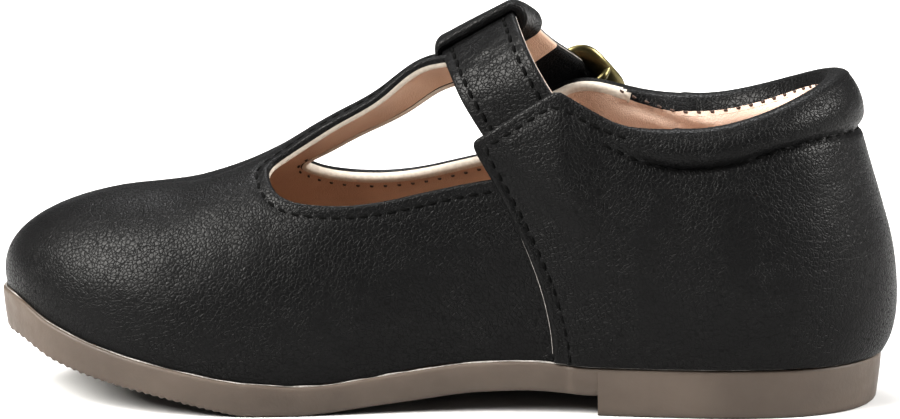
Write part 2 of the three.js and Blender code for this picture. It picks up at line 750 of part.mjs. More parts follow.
// The tab folds round the middle bar and lies on the outer quarter under the strap.
const tailLift = 0.8; // the strap comes this much nearer to the foot over the tab's length
function buildChape() {
  const fold = 8;
  const section = [];
  for (let k = 0; k <= fold; k++) {
    const angle = THREE.MathUtils.degToRad(THREE.MathUtils.lerp(60, 270, k / fold));
    section.push([foldRadius * Math.cos(angle), pinAway + foldRadius * Math.sin(angle)]);
  }
  const under = (share) => pinAway - foldRadius + tailLift * share;
  const shares = [0.35, 0.55, 0.78, 1];
  for (const f of shares) section.push([chapeLength * f, under(f)]);
  for (const f of shares.reverse()) section.push([chapeLength * f, under(f) + 2 * chapeThickness]);
  const rings = [-0.5, -0.25, 0, 0.25, 0.5].map((f) =>
    section.map(([along, away]) => besideStrap(shareAt(along), f * chapeWidth, away)),
  );
  const body = barOf(rings, section);
  return body.subtract(wireOf(pinPath(frameHalf.across), pinClear, 8));
}

// Assembly

const strapRoom = buildStrap(gap);
const prong = buildProng();
const chapeSlot = buildProng(gap);
const upper = buildUpperWall()
  .subtract(openingCutter(innerEdge, 1))
  .subtract(openingCutter(outerEdge, -1))
  .add(buildLoop())
  .subtract(strapRoom);

const leather = new THREE.MeshStandardMaterial({ color: 0x17171a, roughness: 0.5, metalness: 0 });
const rubber = new THREE.MeshStandardMaterial({ color: 0x857569, roughness: 0.55, metalness: 0 });
const lining = new THREE.MeshStandardMaterial({ color: 0xb98a6d, roughness: 0.8, metalness: 0 });
const brass = new THREE.MeshStandardMaterial({ color: 0x6b5d3a, roughness: 0.35, metalness: 1 });

const shoe = new THREE.Group();
shoe.add(meshOf("outsole", buildSole(), rubber));
shoe.add(meshOf("insole", buildInsole(), lining));
shoe.add(meshOf("upper", upper, leather));
shoe.add(meshOf("strap", buildStrap().subtract(chapeSlot), leather));
shoe.add(meshOf("buckle_frame", buildFrame(), brass));
shoe.add(meshOf("buckle_prong", prong, brass));
shoe.add(meshOf("buckle_tab", buildChape().subtract(chapeSlot), leather));

// The origin is on the floor under the middle of the shoe's box.
const middle = new THREE.Box3().setFromObject(shoe).getCenter(new THREE.Vector3());
shoe.position.set(-middle.x, -middle.y, 0);

export default shoe;
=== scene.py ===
import math

import bmesh
import bpy
import numpy as np
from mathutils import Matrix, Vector


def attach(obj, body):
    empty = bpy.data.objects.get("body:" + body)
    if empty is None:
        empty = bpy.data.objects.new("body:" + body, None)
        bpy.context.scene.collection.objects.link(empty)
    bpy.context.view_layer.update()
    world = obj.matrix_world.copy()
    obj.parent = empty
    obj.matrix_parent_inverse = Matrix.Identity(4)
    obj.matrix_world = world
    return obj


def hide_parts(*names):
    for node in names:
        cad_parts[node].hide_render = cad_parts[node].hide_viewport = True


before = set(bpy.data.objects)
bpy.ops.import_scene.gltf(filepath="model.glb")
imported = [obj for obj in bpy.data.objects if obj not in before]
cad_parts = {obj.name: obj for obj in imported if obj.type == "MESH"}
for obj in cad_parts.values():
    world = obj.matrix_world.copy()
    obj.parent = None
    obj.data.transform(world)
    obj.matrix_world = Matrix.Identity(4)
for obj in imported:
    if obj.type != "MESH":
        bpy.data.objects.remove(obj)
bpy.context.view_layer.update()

SHIFT = np.array([-0.43, 2.4631, 0.0])

# The form's driving dimensions, as in the CAD source

LAST, BALL, INSTEP = 162.0, 62.0, 72.0
SOLE, SEAT, SPRING, ARCH = 5.2, 9.0, 12.1, 4.2
SOLE_RIM, SOLE_TAPER, BREAST = 0.8, 0.9, -28.6
WALL, QUARTER_STEP, GAP = 2.0, 1.2, 0.3
COLLAR_PUFF, COLLAR_PAD, COLLAR_DEPTH, COLLAR_BACK = 1.5, 1.9, 7.2, 11.0
CREST_SHIFT, BAR_SHIFT, BAR_FRONT, BAR_TOP = 6.0, -5.2, 22.5, 17.0
BAR_FLARE, BAR_FLARE_LENGTH, TAB_SWELL = 2.2, 7.0, 2.3
QUARTER_RIB = CREST_RIB = 6

# A rib: along, inner, outer, topAlong, half, rise, lowOut, lowUp, highOut, highDrop, highFore
RIBS = [
    (0.015, 0, 0, 0.064, 0, 0.834, 0.115, 0.17, 0.06, 0.2, 0),
    (0.046, 0.222, 0.222, 0.088, 0.19, 0.812, 0.085, 0.18, 0.06, 0.2, 0),
    (0.13, 0.345, 0.345, 0.154, 0.315, 0.757, 0.075, 0.18, 0.06, 0.2, 0),
    (0.235, 0.365, 0.37, 0.24, 0.348, 0.731, 0.07, 0.2, 0.045, 0.2, 0),
    (0.315, 0.355, 0.372, 0.325, 0.34, 0.79, 0.065, 0.25, 0.06, 0.2, 0),
    (0.352, 0.348, 0.374, 0.415, 0.25, 0.86, 0.06, 0.3, 0.12, 0.12, 0),
    (0.373, 0.342, 0.378, 0.51, 0, 0.876, 0.055, 0.36, 0.25, 0, 0.032),
    (0.47, 0.35, 0.4, 0.574, 0, 0.795, 0.055, 0.33, 0.26, 0, 0),
    (0.562, 0.39, 0.438, 0.624, 0, 0.727, 0.055, 0.3, 0.27, 0, 0),
    (0.66, 0.446, 0.474, 0.67, 0, 0.664, 0.055, 0.28, 0.25, 0, 0),
    (0.76, 0.47, 0.474, 0.715, 0, 0.604, 0.05, 0.25, 0.24, 0, 0.03),
    (0.855, 0.434, 0.412, 0.755, 0, 0.562, 0.05, 0.22, 0.2, 0, 0.06),
    (0.936, 0.33, 0.29, 0.778, 0, 0.548, 0.055, 0.2, 0.14, 0.006, 0.1),
    (0.989, 0.18, 0.14, 0.788, 0, 0.544, 0.05, 0.18, 0.07, 0.01, 0.12),
    (1.007, 0.022, -0.022, 0.79, 0, 0.543, 0.048, 0.175, 0, 0.012, 0.125),
]
# The sole along its length: along, spring, arch, seat
SOLE_ROWS = [
    (0, 0, 0.85, 1), (0.2, 0, 0.85, 0.99), (0.33, 0, 0.86, 0.98), (0.4, 0, 1, 1.2),
    (0.46, 0, 0.9, 1.11), (0.52, 0, 0.6, 0.78), (0.58, 0, 0.32, 0.42), (0.63, 0, 0.08, 0.13),
    (0.66, 0, 0, 0.1), (0.71, 0, 0, 0.27), (0.735, 0.045, 0, 0.26), (0.765, 0.13, 0, 0.22),
    (0.82, 0.29, 0, 0.2), (0.88, 0.45, 0, 0.32), (0.94, 0.65, 0, 0.5), (1, 0.91, 0, 0.69),
]
# The sides' top edges from the side: along and rise, from the T-bar's opening to the collar. The
# first run is the opening's edge and the second the quarter's tab.
INNER_OPENING = [
    (0.7, 0.66), (0.697, 0.6), (0.692, 0.574), (0.681, 0.548), (0.66, 0.532), (0.625, 0.526),
    (0.595, 0.528), (0.56, 0.538), (0.515, 0.562), (0.457, 0.59), (0.4, 0.61), (0.3, 0.62),
]
INNER_TAB = [
    (0.466, 0.688), (0.42, 0.756), (0.386, 0.806), (0.371, 0.825), (0.36, 0.813), (0.347, 0.795),
    (0.318, 0.757), (0.3, 0.741), (0.278, 0.7331), (0.24, 0.7311),
]
OUTER_OPENING = [
    (0.69, 0.66), (0.682, 0.6), (0.672, 0.572), (0.655, 0.548), (0.63, 0.533), (0.6, 0.526),
    (0.57, 0.528), (0.54, 0.538), (0.5, 0.56), (0.457, 0.585), (0.4, 0.61), (0.3, 0.62),
]
OUTER_TAB = [
    (0.462, 0.655), (0.43, 0.7), (0.4, 0.735), (0.37, 0.765), (0.34, 0.768), (0.31, 0.75), (0.278, 0.735),
    (0.24, 0.7311),
]
# The strap's middle line: along, side, rise and the lean of its width
STRAP_ROWS = [
    (0.392, 0.336, 0.685, 0.84, -0.2, -0.48), (0.413, 0.316, 0.75, 0.85, -0.19, -0.47),
    (0.438, 0.278, 0.835, 0.86, -0.14, -0.47), (0.455, 0.19, 0.9, 0.86, -0.1, -0.5),
    (0.465, 0.045, 0.926, 0.88, 0, -0.47), (0.455, -0.12, 0.893, 0.87, 0.06, -0.46),
    (0.43, -0.287, 0.815, 0.87, 0.14, -0.42), (0.395, -0.434, 0.732, 0.87, 0.17, -0.41),
    (0.359, -0.493, 0.63, 0.87, 0.14, -0.43), (0.327, -0.482, 0.528, 0.88, 0.1, -0.47),
    (0.301, -0.452, 0.445, 0.88, 0.06, -0.47),
]

# Small maths


def smooth(f):
    c = np.clip(f, 0, 1)
    return c * c * (3 - 2 * c)


def lerp(a, b, f):
    return a + (b - a) * f


def unit(v):
    return v / np.maximum(np.linalg.norm(v, axis=-1, keepdims=True), 1e-9)


def at(along):
    return (np.asarray(along, float) - 0.5) * LAST


def hermite(a, b, ma, mb, f):
    f2, f3 = f * f, f * f * f
    return (2 * f3 - 3 * f2 + 1) * a + (f3 - 2 * f2 + f) * ma + (3 * f2 - 2 * f3) * b + (f3 - f2) * mb


def sole_curve(column, x):
    """A column of the sole's table along the shoe, with no overshoot between its rows."""
    table = np.array(SOLE_ROWS)
    row_x, y = at(table[:, 0]), table[:, column]
    chord = np.diff(y) / np.diff(row_x)
    slope = np.zeros(len(y))
    for k, (a, b) in enumerate(zip(chord[:-1], chord[1:]), 1):
        slope[k] = 0 if a * b <= 0 else 2 * a * b / (a + b)
    x = np.clip(x, row_x[0], row_x[-1])
    i = np.clip(np.searchsorted(row_x, x, side="left") - 1, 0, len(y) - 2)
    span = row_x[i + 1] - row_x[i]
    return hermite(y[i], y[i + 1], slope[i] * span, slope[i + 1] * span, (x - row_x[i]) / span)


def sole_under(x):
    return SPRING * sole_curve(1, x) + ARCH * sole_curve(2, x)


def sole_top(x):
    return SOLE + (SEAT - SOLE) * sole_curve(3, x) + SPRING * sole_curve(1, x)


def smooth_noise(points, cell, seed):
    """A soft random height from -1 to 1, the same for the same points."""
    q = points / cell
    base = np.floor(q).astype(int)
    f = smooth(q - base)
    total = np.zeros(len(points))
    for dx, dy, dz in np.ndindex(2, 2, 2):
        c = base + (dx, dy, dz)
        h = np.sin(c[:, 0] * 127.1 + c[:, 1] * 311.7 + c[:, 2] * 74.7 + seed * 13.3) * 43758.5453
        w = np.abs(1 - dx - f[:, 0]) * np.abs(1 - dy - f[:, 1]) * np.abs(1 - dz - f[:, 2])
        total += w * ((h - np.floor(h)) * 2 - 1)
    return total


# The upper's form: a closed round of cubic ribs

LAST_ROW = len(RIBS) - 1
ROUND = 2 * LAST_ROW


def rib_controls():
    """Each rib's four cubic control points, from its foot to its top."""
    index = np.arange(ROUND)
    side = np.where(index <= LAST_ROW, 1, -1)
    rows = np.array(RIBS, float)[np.minimum(index, ROUND - index)]
    foot, inner, outer, top, half, rise, low_out, low_up, high_out, high_drop, high_fore = rows.T
    crest = (half == 0) & (index != 0)
    width = side * np.where(side > 0, inner, outer)
    feet = np.stack([at(foot), width * BALL, sole_top(at(foot)) + GAP], axis=1)
    tops = np.stack([at(top), side * half * BALL + CREST_SHIFT * crest, rise * INSTEP], axis=1)
    out = np.roll(feet, 1, axis=0) - np.roll(feet, -1, axis=0)
    out = unit(np.stack([out[:, 1], -out[:, 0], np.zeros(ROUND)], axis=1))
    lows = feet + out * low_out[:, None] * BALL
    lows[:, 2] += low_up * INSTEP
    highs = tops + np.where(crest[:, None], side[:, None] * (0, 1, 0), out) * high_out[:, None] * BALL
    highs[:, 0] += high_fore * LAST
    highs[:, 2] -= high_drop * INSTEP
    return np.stack([feet, lows, highs, tops], axis=1)


CONTROLS = rib_controls()
_ring = 4 * np.eye(ROUND) + np.roll(np.eye(ROUND), 1, axis=1) + np.roll(np.eye(ROUND), -1, axis=1)
_rise = 3 * (np.roll(CONTROLS, -1, axis=0) - np.roll(CONTROLS, 1, axis=0))
CONTROL_SLOPES = np.linalg.solve(_ring, _rise.reshape(ROUND, -1)).reshape(CONTROLS.shape)


def from_heel(u):
    """How many ribs a place is from the heel's middle, on either side."""
    w = np.mod(u, ROUND)
    return np.minimum(w, ROUND - w)


def form(u, t):
    """Points of the form at rib position u and height share t."""
    u, t = np.broadcast_arrays(np.asarray(u, float), np.asarray(t, float))
    w = np.mod(u, ROUND)
    i = np.floor(w).astype(int) % ROUND
    j = (i + 1) % ROUND
    f = (w - np.floor(w))[..., None, None]
    c = hermite(CONTROLS[i], CONTROLS[j], CONTROL_SLOPES[i], CONTROL_SLOPES[j], f)
    c[..., 3, 1] = np.where(from_heel(w) >= CREST_RIB, CREST_SHIFT, c[..., 3, 1])
    s = 1 - t
    weights = np.stack([s**3, 3 * s * s * t, 3 * s * t * t, t**3], axis=-1)
    return (c * weights[..., None]).sum(axis=-2)


def side_normal(u, t):
    probe = 0.01
    low, high = np.maximum(0, t - probe), np.minimum(1, t + probe)
    up = form(u, high) - form(u, low)
    along = form(u + probe, (low + high) / 2) - form(u - probe, (low + high) / 2)
    normal = -unit(np.cross(along, up))
    normal[..., 2] *= smooth(t / 0.12)
    return unit(normal)


def form_normal(u, t):
    """The way out of the form, which both sides share where they meet at the crest."""
    normal = side_normal(u, t)
    both = (np.asarray(t) > 0.9999) & (from_heel(u) >= CREST_RIB)
    if np.any(both):
        normal = np.where(both[..., None], unit(normal + side_normal(ROUND - u, t)), normal)
    return normal


def on_sheet(u, t, height):
    """Places on a sheet that lies a height off the form, and their normals."""
    normal = form_normal(u, t)
    return form(u, t) + normal * height(u, t)[:, None], normal


def rib_length(u):
    steps = np.linspace(0, 1, 13)
    p = form(np.asarray(u, float)[..., None], steps)
    return np.linalg.norm(np.diff(p, axis=-2), axis=-1).sum(axis=-1)


def collar_share(u):
    """1 over the padded collar, and fading to 0 towards the tabs."""
    fade_from, fade_over = 3.0, 1.1
    return 1 - smooth((from_heel(u) - fade_from) / fade_over)


def collar_depth(u):
    return lerp(COLLAR_BACK, COLLAR_DEPTH, smooth(from_heel(u) / 2))


def puff(u, t):
    """The padded collar's swelling, 0 at its seam and top edge, and the share of the way up it."""
    share = 1 - (1 - t) * rib_length(u) / collar_depth(u)
    s = np.clip(share, 0, 1)
    return np.where(share > 0, np.abs(np.sin(np.pi * s**0.8)) ** 0.8, 0) * collar_share(u), share


def bar_half(x):
    """Half the T-bar's width, which widens to its front and flares out into the vamp."""
    back, front = at(0.52), at(0.7)
    f = np.clip((x - back) / (front - back), 0, 1)
    flare = BAR_FLARE * np.maximum(0, 1 + (x - front) / BAR_FLARE_LENGTH) ** 2
    return lerp(BAR_TOP, BAR_FRONT, f) / 2 + flare


# Distances in the side view and in plan


def rounded(points):
    """A polyline with its corners cut twice."""
    p = np.array(points, float)
    for _ in range(2):
        a, b = p[:-1], p[1:]
        cut = np.stack([a * 0.75 + b * 0.25, a * 0.25 + b * 0.75], axis=1).reshape(-1, 2)
        p = np.vstack([p[:1], cut, p[-1:]])
    return p


def to_segment(q, a, b, beyond=0.0):
    """The nearest place's share along a segment, which may run on a little, and its distance."""
    e, w = b - a, q - a
    h = np.clip((w @ e) / max(e @ e, 1e-12), -beyond, 1 + beyond)
    return h, np.linalg.norm(w - h[:, None] * e, axis=1)


def polygon_distance(q, polygon):
    """Signed distance of points to a closed polygon, positive outside."""
    inside = np.zeros(len(q), bool)
    best = np.full(len(q), 1e9)
    for a, b in zip(polygon, np.roll(polygon, -1, axis=0)):
        best = np.minimum(best, to_segment(q, a, b)[1])
        if abs(b[1] - a[1]) > 1e-12:
            crosses = (a[1] > q[:, 1]) != (b[1] > q[:, 1])
            inside ^= crosses & (q[:, 0] < a[0] + (q[:, 1] - a[1]) * (b[0] - a[0]) / (b[1] - a[1]))
    return np.where(inside, -best, best)


def side_polygon(*runs):
    edge = np.vstack([rounded(run) for run in runs])
    edge = np.stack([at(edge[:, 0]), edge[:, 1] * INSTEP], axis=1)
    high = INSTEP * 1.6
    return np.vstack([edge, [[edge[-1, 0], high]], [[edge[0, 0], high]]])


OPENINGS = {1: side_polygon(INNER_OPENING), -1: side_polygon(OUTER_OPENING)}
TABS = {
    1: side_polygon([(0.6, 0.52), *INNER_TAB, (0.0, 0.7311)]),
    -1: side_polygon([(0.6, 0.5), *OUTER_TAB, (0.0, 0.7311)]),
}


def smooth_max(a, b, k):
    h = np.clip(0.5 + (a - b) / (2 * k), 0, 1)
    return lerp(b, a, h) + k * h * (1 - h)


def side_of(u):
    return np.where(np.mod(u, ROUND) <= LAST_ROW, 1, -1)


def side_distance(u, points, outlines):
    """The distance in the side view to the outline on each place's own side."""
    side = side_of(u)
    out = np.empty(len(u))
    for s in (1, -1):
        out[side == s] = polygon_distance(points[side == s][:, [0, 2]], outlines[s])
    return out


def vamp_field(u, t):
    """How far a place lies inside the vamp and T-bar, in millimetres."""
    u, t = np.ravel(u), np.ravel(t)
    p, corner = form(u, t), 2.2
    bar = bar_half(p[:, 0]) - side_of(u) * (p[:, 1] - CREST_SHIFT - BAR_SHIFT)
    return smooth_max(side_distance(u, p, OPENINGS), bar, corner)


def quarter_field(u, t):
    """How far a place lies inside the quarters' tops and front edges."""
    u, t = np.ravel(u), np.ravel(t)
    far, corner = 60, 1.0
    p, _ = on_sheet(u, t, lambda u, t: QUARTER_STEP + tab_rise(u, t))
    heel = from_heel(u)
    reach = np.linalg.norm(form(u + 0.05, t) - form(u - 0.05, t), axis=1) / 0.1
    front = (QUARTER_RIB - 0.1 * smooth((t - 0.5) / 0.15) - heel) * reach
    front = -smooth_max(-np.minimum(side_distance(u, p, TABS), far), -front, corner)
    top = (1 - t) * rib_length(u)
    return np.where(heel < 3, top, np.minimum(front, lerp(top, far, smooth((heel - 3) / 0.6))))


def lining_field(u, t):
    """The lining's sheet is the union of both, and behind the tabs the quarters' alone."""
    quarter = quarter_field(u, t)
    return np.where(from_heel(np.ravel(u)) < 5.2, quarter, np.maximum(vamp_field(u, t), quarter))


# Sheets trimmed by a field


def trim(us, ts, field):
    """A grid over u and t, cut where the field falls under 0. Gives places, faces and the cut's runs."""
    nu, nt = len(us), len(ts)
    places = np.stack(np.meshgrid(us, ts, indexing="ij"), axis=-1).reshape(-1, 2)
    g = field(places[:, 0], places[:, 1])
    index = np.arange(nu * nt).reshape(nu, nt)
    near = 0.22
    moved = set()
    for step in ((1, 0), (0, 1)):
        a = index[: nu - step[0], : nt - step[1]].ravel()
        b = index[step[0] :, step[1] :].ravel()
        for i, j in zip(a[g[a] * g[b] < 0], b[g[a] * g[b] < 0]):
            s = g[i] / (g[i] - g[j])
            for v, w, f in ((i, j, s), (j, i, 1 - s)):
                if f < near and v not in moved and w not in moved:
                    places[v] = lerp(places[v], places[w], f)
                    moved.add(v)
    for v in moved:
        g[v] = 0
    quads = np.stack([index[:-1, :-1], index[1:, :-1], index[1:, 1:], index[:-1, 1:]], axis=-1)
    quads = quads.reshape(-1, 4)
    kept = g[quads] >= 0
    faces = [tuple(q) for q in quads[kept.all(axis=1)]]
    extra, cuts = [], {}
    for q in quads[kept.any(axis=1) & ~kept.all(axis=1)]:
        poly = []
        for k in range(4):
            i, j = q[k], q[(k + 1) % 4]
            if g[i] >= 0:
                poly.append(int(i))
            if g[i] * g[j] < 0:
                a, b = min(i, j), max(i, j)
                if (a, b) not in cuts:
                    cuts[a, b] = len(places) + len(extra)
                    extra.append(lerp(places[a], places[b], g[a] / (g[a] - g[b])))
                poly.append(cuts[a, b])
        if len(poly) > 2:
            faces.append(tuple(poly))
    places = np.vstack([places, *extra])
    on_cut = np.zeros(len(places), bool)
    on_cut[list(moved)] = True
    on_cut[nu * nt :] = True
    edges = dict.fromkeys((f[k], f[(k + 1) % len(f)]) for f in faces for k in range(len(f)))
    follow = {a: b for a, b in edges if (b, a) not in edges and on_cut[a] and on_cut[b]}
    ends = set(follow.values())
    left = dict(follow)
    runs = []
    for a in [a for a in follow if a not in ends] + list(follow):
        run = [a]
        while run[-1] in left:
            run.append(left.pop(run[-1]))
        if len(run) > 3:
            runs.append(run)
    return places, faces, runs


def link(name, data):
    """Puts an object in the scene."""
    obj = bpy.data.objects.new(name, data)
    bpy.context.scene.collection.objects.link(obj)
    return obj


class Skin:
    """Collects points and faces, and makes one mesh object for each finish."""

    def __init__(self):
        self.points, self.faces, self.count = [], {}, 0

    def add(self, points):
        """Takes points, and gives their numbers in the same arrangement."""
        points = np.asarray(points, float)
        numbers = self.count + np.arange(points.size // 3).reshape(points.shape[:-1])
        self.points.append(points.reshape(-1, 3))
        self.count += points.size // 3
        return numbers

    def face(self, finish, faces):
        self.faces.setdefault(finish, []).extend(tuple(int(v) for v in f) for f in faces)

    def join(self, finish, rows, closed=True, turned=False, capped=False):
        """Quads from each row of point numbers to the next, and a face over both ends where capped."""
        for a, b in zip(rows[:-1], rows[1:]):
            for i in range(len(a) if closed else len(a) - 1):
                j = (i + 1) % len(a)
                self.face(finish, [(a[i], b[i], b[j], a[j]) if turned else (a[i], a[j], b[j], b[i])])
        if capped:
            self.face(finish, (rows[0], rows[-1][::-1]) if turned else (rows[0][::-1], rows[-1]))

    def object(self, name, finish, material, slot, merge=True, flip=False):
        faces = self.faces[finish]
        used = np.unique(np.concatenate(faces))
        number = np.full(self.count, -1)
        number[used] = np.arange(len(used))
        points = (np.vstack(self.points)[used] + SHIFT) / 1000
        mesh = bpy.data.meshes.new(name)
        faces = [number[list(f)][:: -1 if flip else 1].tolist() for f in faces]
        mesh.from_pydata(points.tolist(), [], faces)
        bm = bmesh.new()
        bm.from_mesh(mesh)
        if merge:
            bmesh.ops.remove_doubles(bm, verts=bm.verts, dist=1e-6)
        bmesh.ops.dissolve_degenerate(bm, edges=bm.edges, dist=1e-7)
        bm.to_mesh(mesh)
        bm.free()
        mesh.polygons.foreach_set("use_smooth", [True] * len(mesh.polygons))
        mesh.set_sharp_from_angle(angle=math.radians(55))
        mesh.materials.append(material)
        obj = link(name, mesh)
        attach(obj, "root")
        return obj


def tube(skin, finish, path, radius, sides, closed=False, up=(0, 0, 1), flat=1.0):
    """A round wire along a path. A list of radii tapers it, and flat squeezes it along up."""
    if closed:
        along = unit(np.roll(path, -1, axis=0) - np.roll(path, 1, axis=0))
    else:
        along = unit(np.gradient(path, axis=0))
    side = unit(np.cross(along, up))
    top = np.cross(side, along)
    radii = np.broadcast_to(radius, len(path))[:, None, None]
    a = 2 * math.pi * (np.arange(sides)[:, None] + 0.5) / sides
    ring = np.cos(a) * side[:, None] + flat * np.sin(a) * top[:, None]
    rows = skin.add(path[:, None] + ring * radii)
    skin.join(finish, [*rows, rows[0]] if closed else rows, capped=not closed)


def spread(path, step, trim_ends):
    """Places at even steps along a polyline, as fractions of its point numbers."""
    lengths = np.linalg.norm(np.diff(path, axis=0), axis=1)
    total = np.concatenate([[0], np.cumsum(lengths)])
    count = max(2, int((total[-1] - 2 * trim_ends) / step) + 1)
    marks = np.linspace(trim_ends, total[-1] - trim_ends, count)
    return np.interp(marks, total, np.arange(len(path)))


def sample(values, spot):
    """A list's values at places between its entries."""
    base = np.clip(np.floor(spot).astype(int), 0, len(values) - 2)
    f = (spot - base)[:, None]
    return values[base] * (1 - f) + values[base + 1] * f


def evened(values, passes):
    """A run of points with its jitter smoothed out."""
    v = np.array(values, float)
    for _ in range(passes):
        v[1:-1] = 0.25 * v[:-2] + 0.5 * v[1:-1] + 0.25 * v[2:]
    return v


# The upper's sheets

EDGE = 0.7  # the roll of a cut edge
COLLAR_EDGE = 1.6  # the roll of the collar
FOAM_BAND = 0.9  # the foam shows this far down the inside of the openings
LEATHER_EDGE = 1.0  # under this depth the roll is foam

# Soft creases as seen from the inner side: start and end (along, rise), width and depth in mm.
# A negative depth is a ridge.
CREASES = [
    (0.335, 0.735, 0.345, 0.56, 1.6, 0.22),
    (0.372, 0.75, 0.362, 0.6, 1.5, -0.16),
    (0.305, 0.66, 0.318, 0.5, 2.2, 0.16),
    (0.41, 0.69, 0.395, 0.58, 1.4, 0.12),
    (0.075, 0.62, 0.03, 0.42, 4.0, 0.3),
    (0.15, 0.66, 0.09, 0.5, 3.2, 0.2),
    (0.02, 0.36, 0.1, 0.22, 5.0, 0.3),
    (0.7, 0.5, 0.66, 0.38, 3.0, 0.22),
    (0.74, 0.47, 0.72, 0.33, 2.6, 0.16),
    (0.78, 0.44, 0.79, 0.32, 3.0, 0.14),
    (0.6, 0.48, 0.57, 0.36, 3.2, 0.16),
]


def crease_height(points):
    """The creases' heights, each running on a little past both its ends and fading there."""
    beyond, fade = 0.3, 0.9
    total = np.zeros(len(points))
    for x0, z0, x1, z1, width, depth in CREASES:
        start, end = np.array([at(x0), z0 * INSTEP]), np.array([at(x1), z1 * INSTEP])
        h, distance = to_segment(points[:, [0, 2]], start, end, beyond)
        total += trough(distance, depth, width) * smooth((1 + beyond - np.abs(h * 2 - 1)) / fade)
    return total


def leather_height(points):
    """The leather's own unevenness."""
    soft = smooth_noise(points, 14, 1) * 0.16 + smooth_noise(points, 6, 2) * 0.06
    return soft + crease_height(points)


def tab_rise(u, t):
    """The inner quarter's tab stands out over the strap's end."""
    w = np.mod(u, ROUND)
    inner = (w < QUARTER_RIB + 1e-6).astype(float)
    return inner * TAB_SWELL * smooth((w - 3.9) / 0.6) * smooth((t - 0.42) / 0.2)


def trough(distance, depth, width):
    """A soft groove."""
    return -depth * np.exp(-((distance / width) ** 2))


SEAM_INSET = 2.1  # the seams' distance from a sheet's outline


def seam_trough(d):
    return trough(d - SEAM_INSET, 0.24, 0.62)


def vamp_top(u, t):
    d = vamp_field(u, t)
    return leather_height(form(u, t)) + seam_trough(d) + 0.08 * smooth((3 - d) / 2)


def quarter_top(u, t):
    """The quarters' outside, with the collar's swelling over its seam, and the seam at the back."""
    swell, share = puff(u, t)
    band, collar = share * collar_depth(u), collar_share(u)
    back = from_heel(u) * np.linalg.norm(form(0.5, t) - form(-0.5, t), axis=-1)
    out = QUARTER_STEP + COLLAR_PUFF * 1.15 * swell + tab_rise(u, t) + leather_height(form(u, t))
    collar_seam = trough(band, 0.75, 0.8) * collar
    back_seam = trough(back, 0.35, 0.55) * smooth(-band / 1.5)
    return out + collar_seam + back_seam + seam_trough(quarter_field(u, t)) * (1 - collar)


LINING_FOLD = np.array([-31.5, 50.9]), np.array([-49.0, 45.0])  # a diagonal fold on the outer side


def inside_depth(u, t):
    """The lining's offset from the form, with soft folds and ripples at the heel."""
    swell, _ = puff(u, t)
    p = form(u, t)
    x, y, z = p.T
    under_edge = 1 - smooth((t - 0.93) / 0.07)
    folds = 0.35 * np.sin(z * 0.5 + 0.08 * x + 2.2 * np.sin(y * 0.09)) * smooth((-40 - x) / 20)
    folds = folds * smooth(t / 0.4) * under_edge * 0.6
    ripple = 0.09 * np.sin(x * 2.1 + 2 * np.sin(z * 0.3)) * smooth((-25 - x) / 8) * under_edge
    _, across = to_segment(p[:, [0, 2]], *LINING_FOLD)
    fold = trough(across - 2.2, 0.35, 1.2) - trough(across, 0.7, 1.1)
    return -WALL - COLLAR_PAD * swell + folds + ripple + fold * (side_of(u) < 0)


def inside_drop(u):
    """From the tabs back, the leather also covers the inside, this far down from its edge."""
    return 0.5 * smooth((3.95 - from_heel(np.asarray(u, float))) / 0.35)


def edge_level(u):
    return lerp(EDGE, COLLAR_EDGE, collar_share(u))


# The rim's rows, from the cut over to the inside: how far out they lie, the first ones' heights
# from the leather's top, and the others' heights from the form.
RIM_OUT = (0, 0.35, 0.6, 0.7, 0.68, 0.6, 0.35, -0.2, -FOAM_BAND)
RIM_FROM_TOP = (0, -0.06, -0.25, -0.55)
RIM_FROM_FORM = (-LEATHER_EDGE, -1.4, -1.95, -2.16, -2.1)
RIM_INSIDE = (0.7, 1.5)  # the collar's last two rows lie on the lining, this far below the cut


def add_rim(skin, places, numbers, run, top):
    """The rolled edge along a cut: leather over foam, or leather right over the padded collar."""
    u, t = places[run].T
    edge, normal, height = form(u, t), form_normal(u, t), top(u, t)
    along = unit(np.gradient(evened(edge, 4), axis=0))
    out = unit(evened(np.cross(along, normal), 6))
    if run[0] == run[-1]:
        out[0] = out[-1] = unit(out[0] + out[-1])
    depth = -WALL - COLLAR_PAD * puff(u, t)[0]
    drop = inside_drop(u)
    least_drop, first_drop, next_drop = 0.04, 0.05, 0.1
    angles = np.radians(np.linspace(0, 168, len(RIM_OUT)))
    rows = [numbers[run]]
    for k in range(1, len(RIM_OUT)):
        low = height + RIM_FROM_TOP[k] if k < 4 else RIM_FROM_FORM[k - 4]
        low = np.minimum(low, height - least_drop * k)
        place = edge + out * (RIM_OUT[k] - drop * (k > 6))[:, None] + normal * low[:, None]
        round_low = (height + depth) / 2 + (height - depth) / 2 * np.cos(angles[k])
        collar = edge + out * (COLLAR_EDGE * np.sin(angles[k])) + normal * round_low[:, None]
        if k > 6:
            below = t - RIM_INSIDE[k - 7] / rib_length(u)
            collar, _ = on_sheet(u, below, lambda u, t: inside_depth(u, t) - 0.06)
        rows.append(skin.add(lerp(place, collar, collar_share(u)[:, None])))
    # Behind the tabs the leather takes the foam's rows one after the other
    for k, (a, b) in enumerate(zip(rows[:-1], rows[1:])):
        for i in range(len(run) - 1):
            foam = k > 3 and drop[i] <= first_drop + next_drop * (k - 4)
            finish = "foam" if foam else "leather" if k < 7 else "inner"
            skin.face(finish, [(a[i], b[i], b[i + 1], a[i + 1])])


def build_sheet(us, ts, field, top, level):
    places, faces, runs = trim(us, ts, lambda u, t: field(u, t) - level(u))
    skin = Skin()
    numbers = skin.add(on_sheet(*places.T, top)[0])
    skin.face("leather", [f[::-1] for f in faces])
    for run in runs:
        add_rim(skin, places, numbers, run[::-1], top)
    return skin


def grid_steps(low, high, step):
    return np.linspace(low, high, int(round((high - low) / step)) + 1)


# Stitches


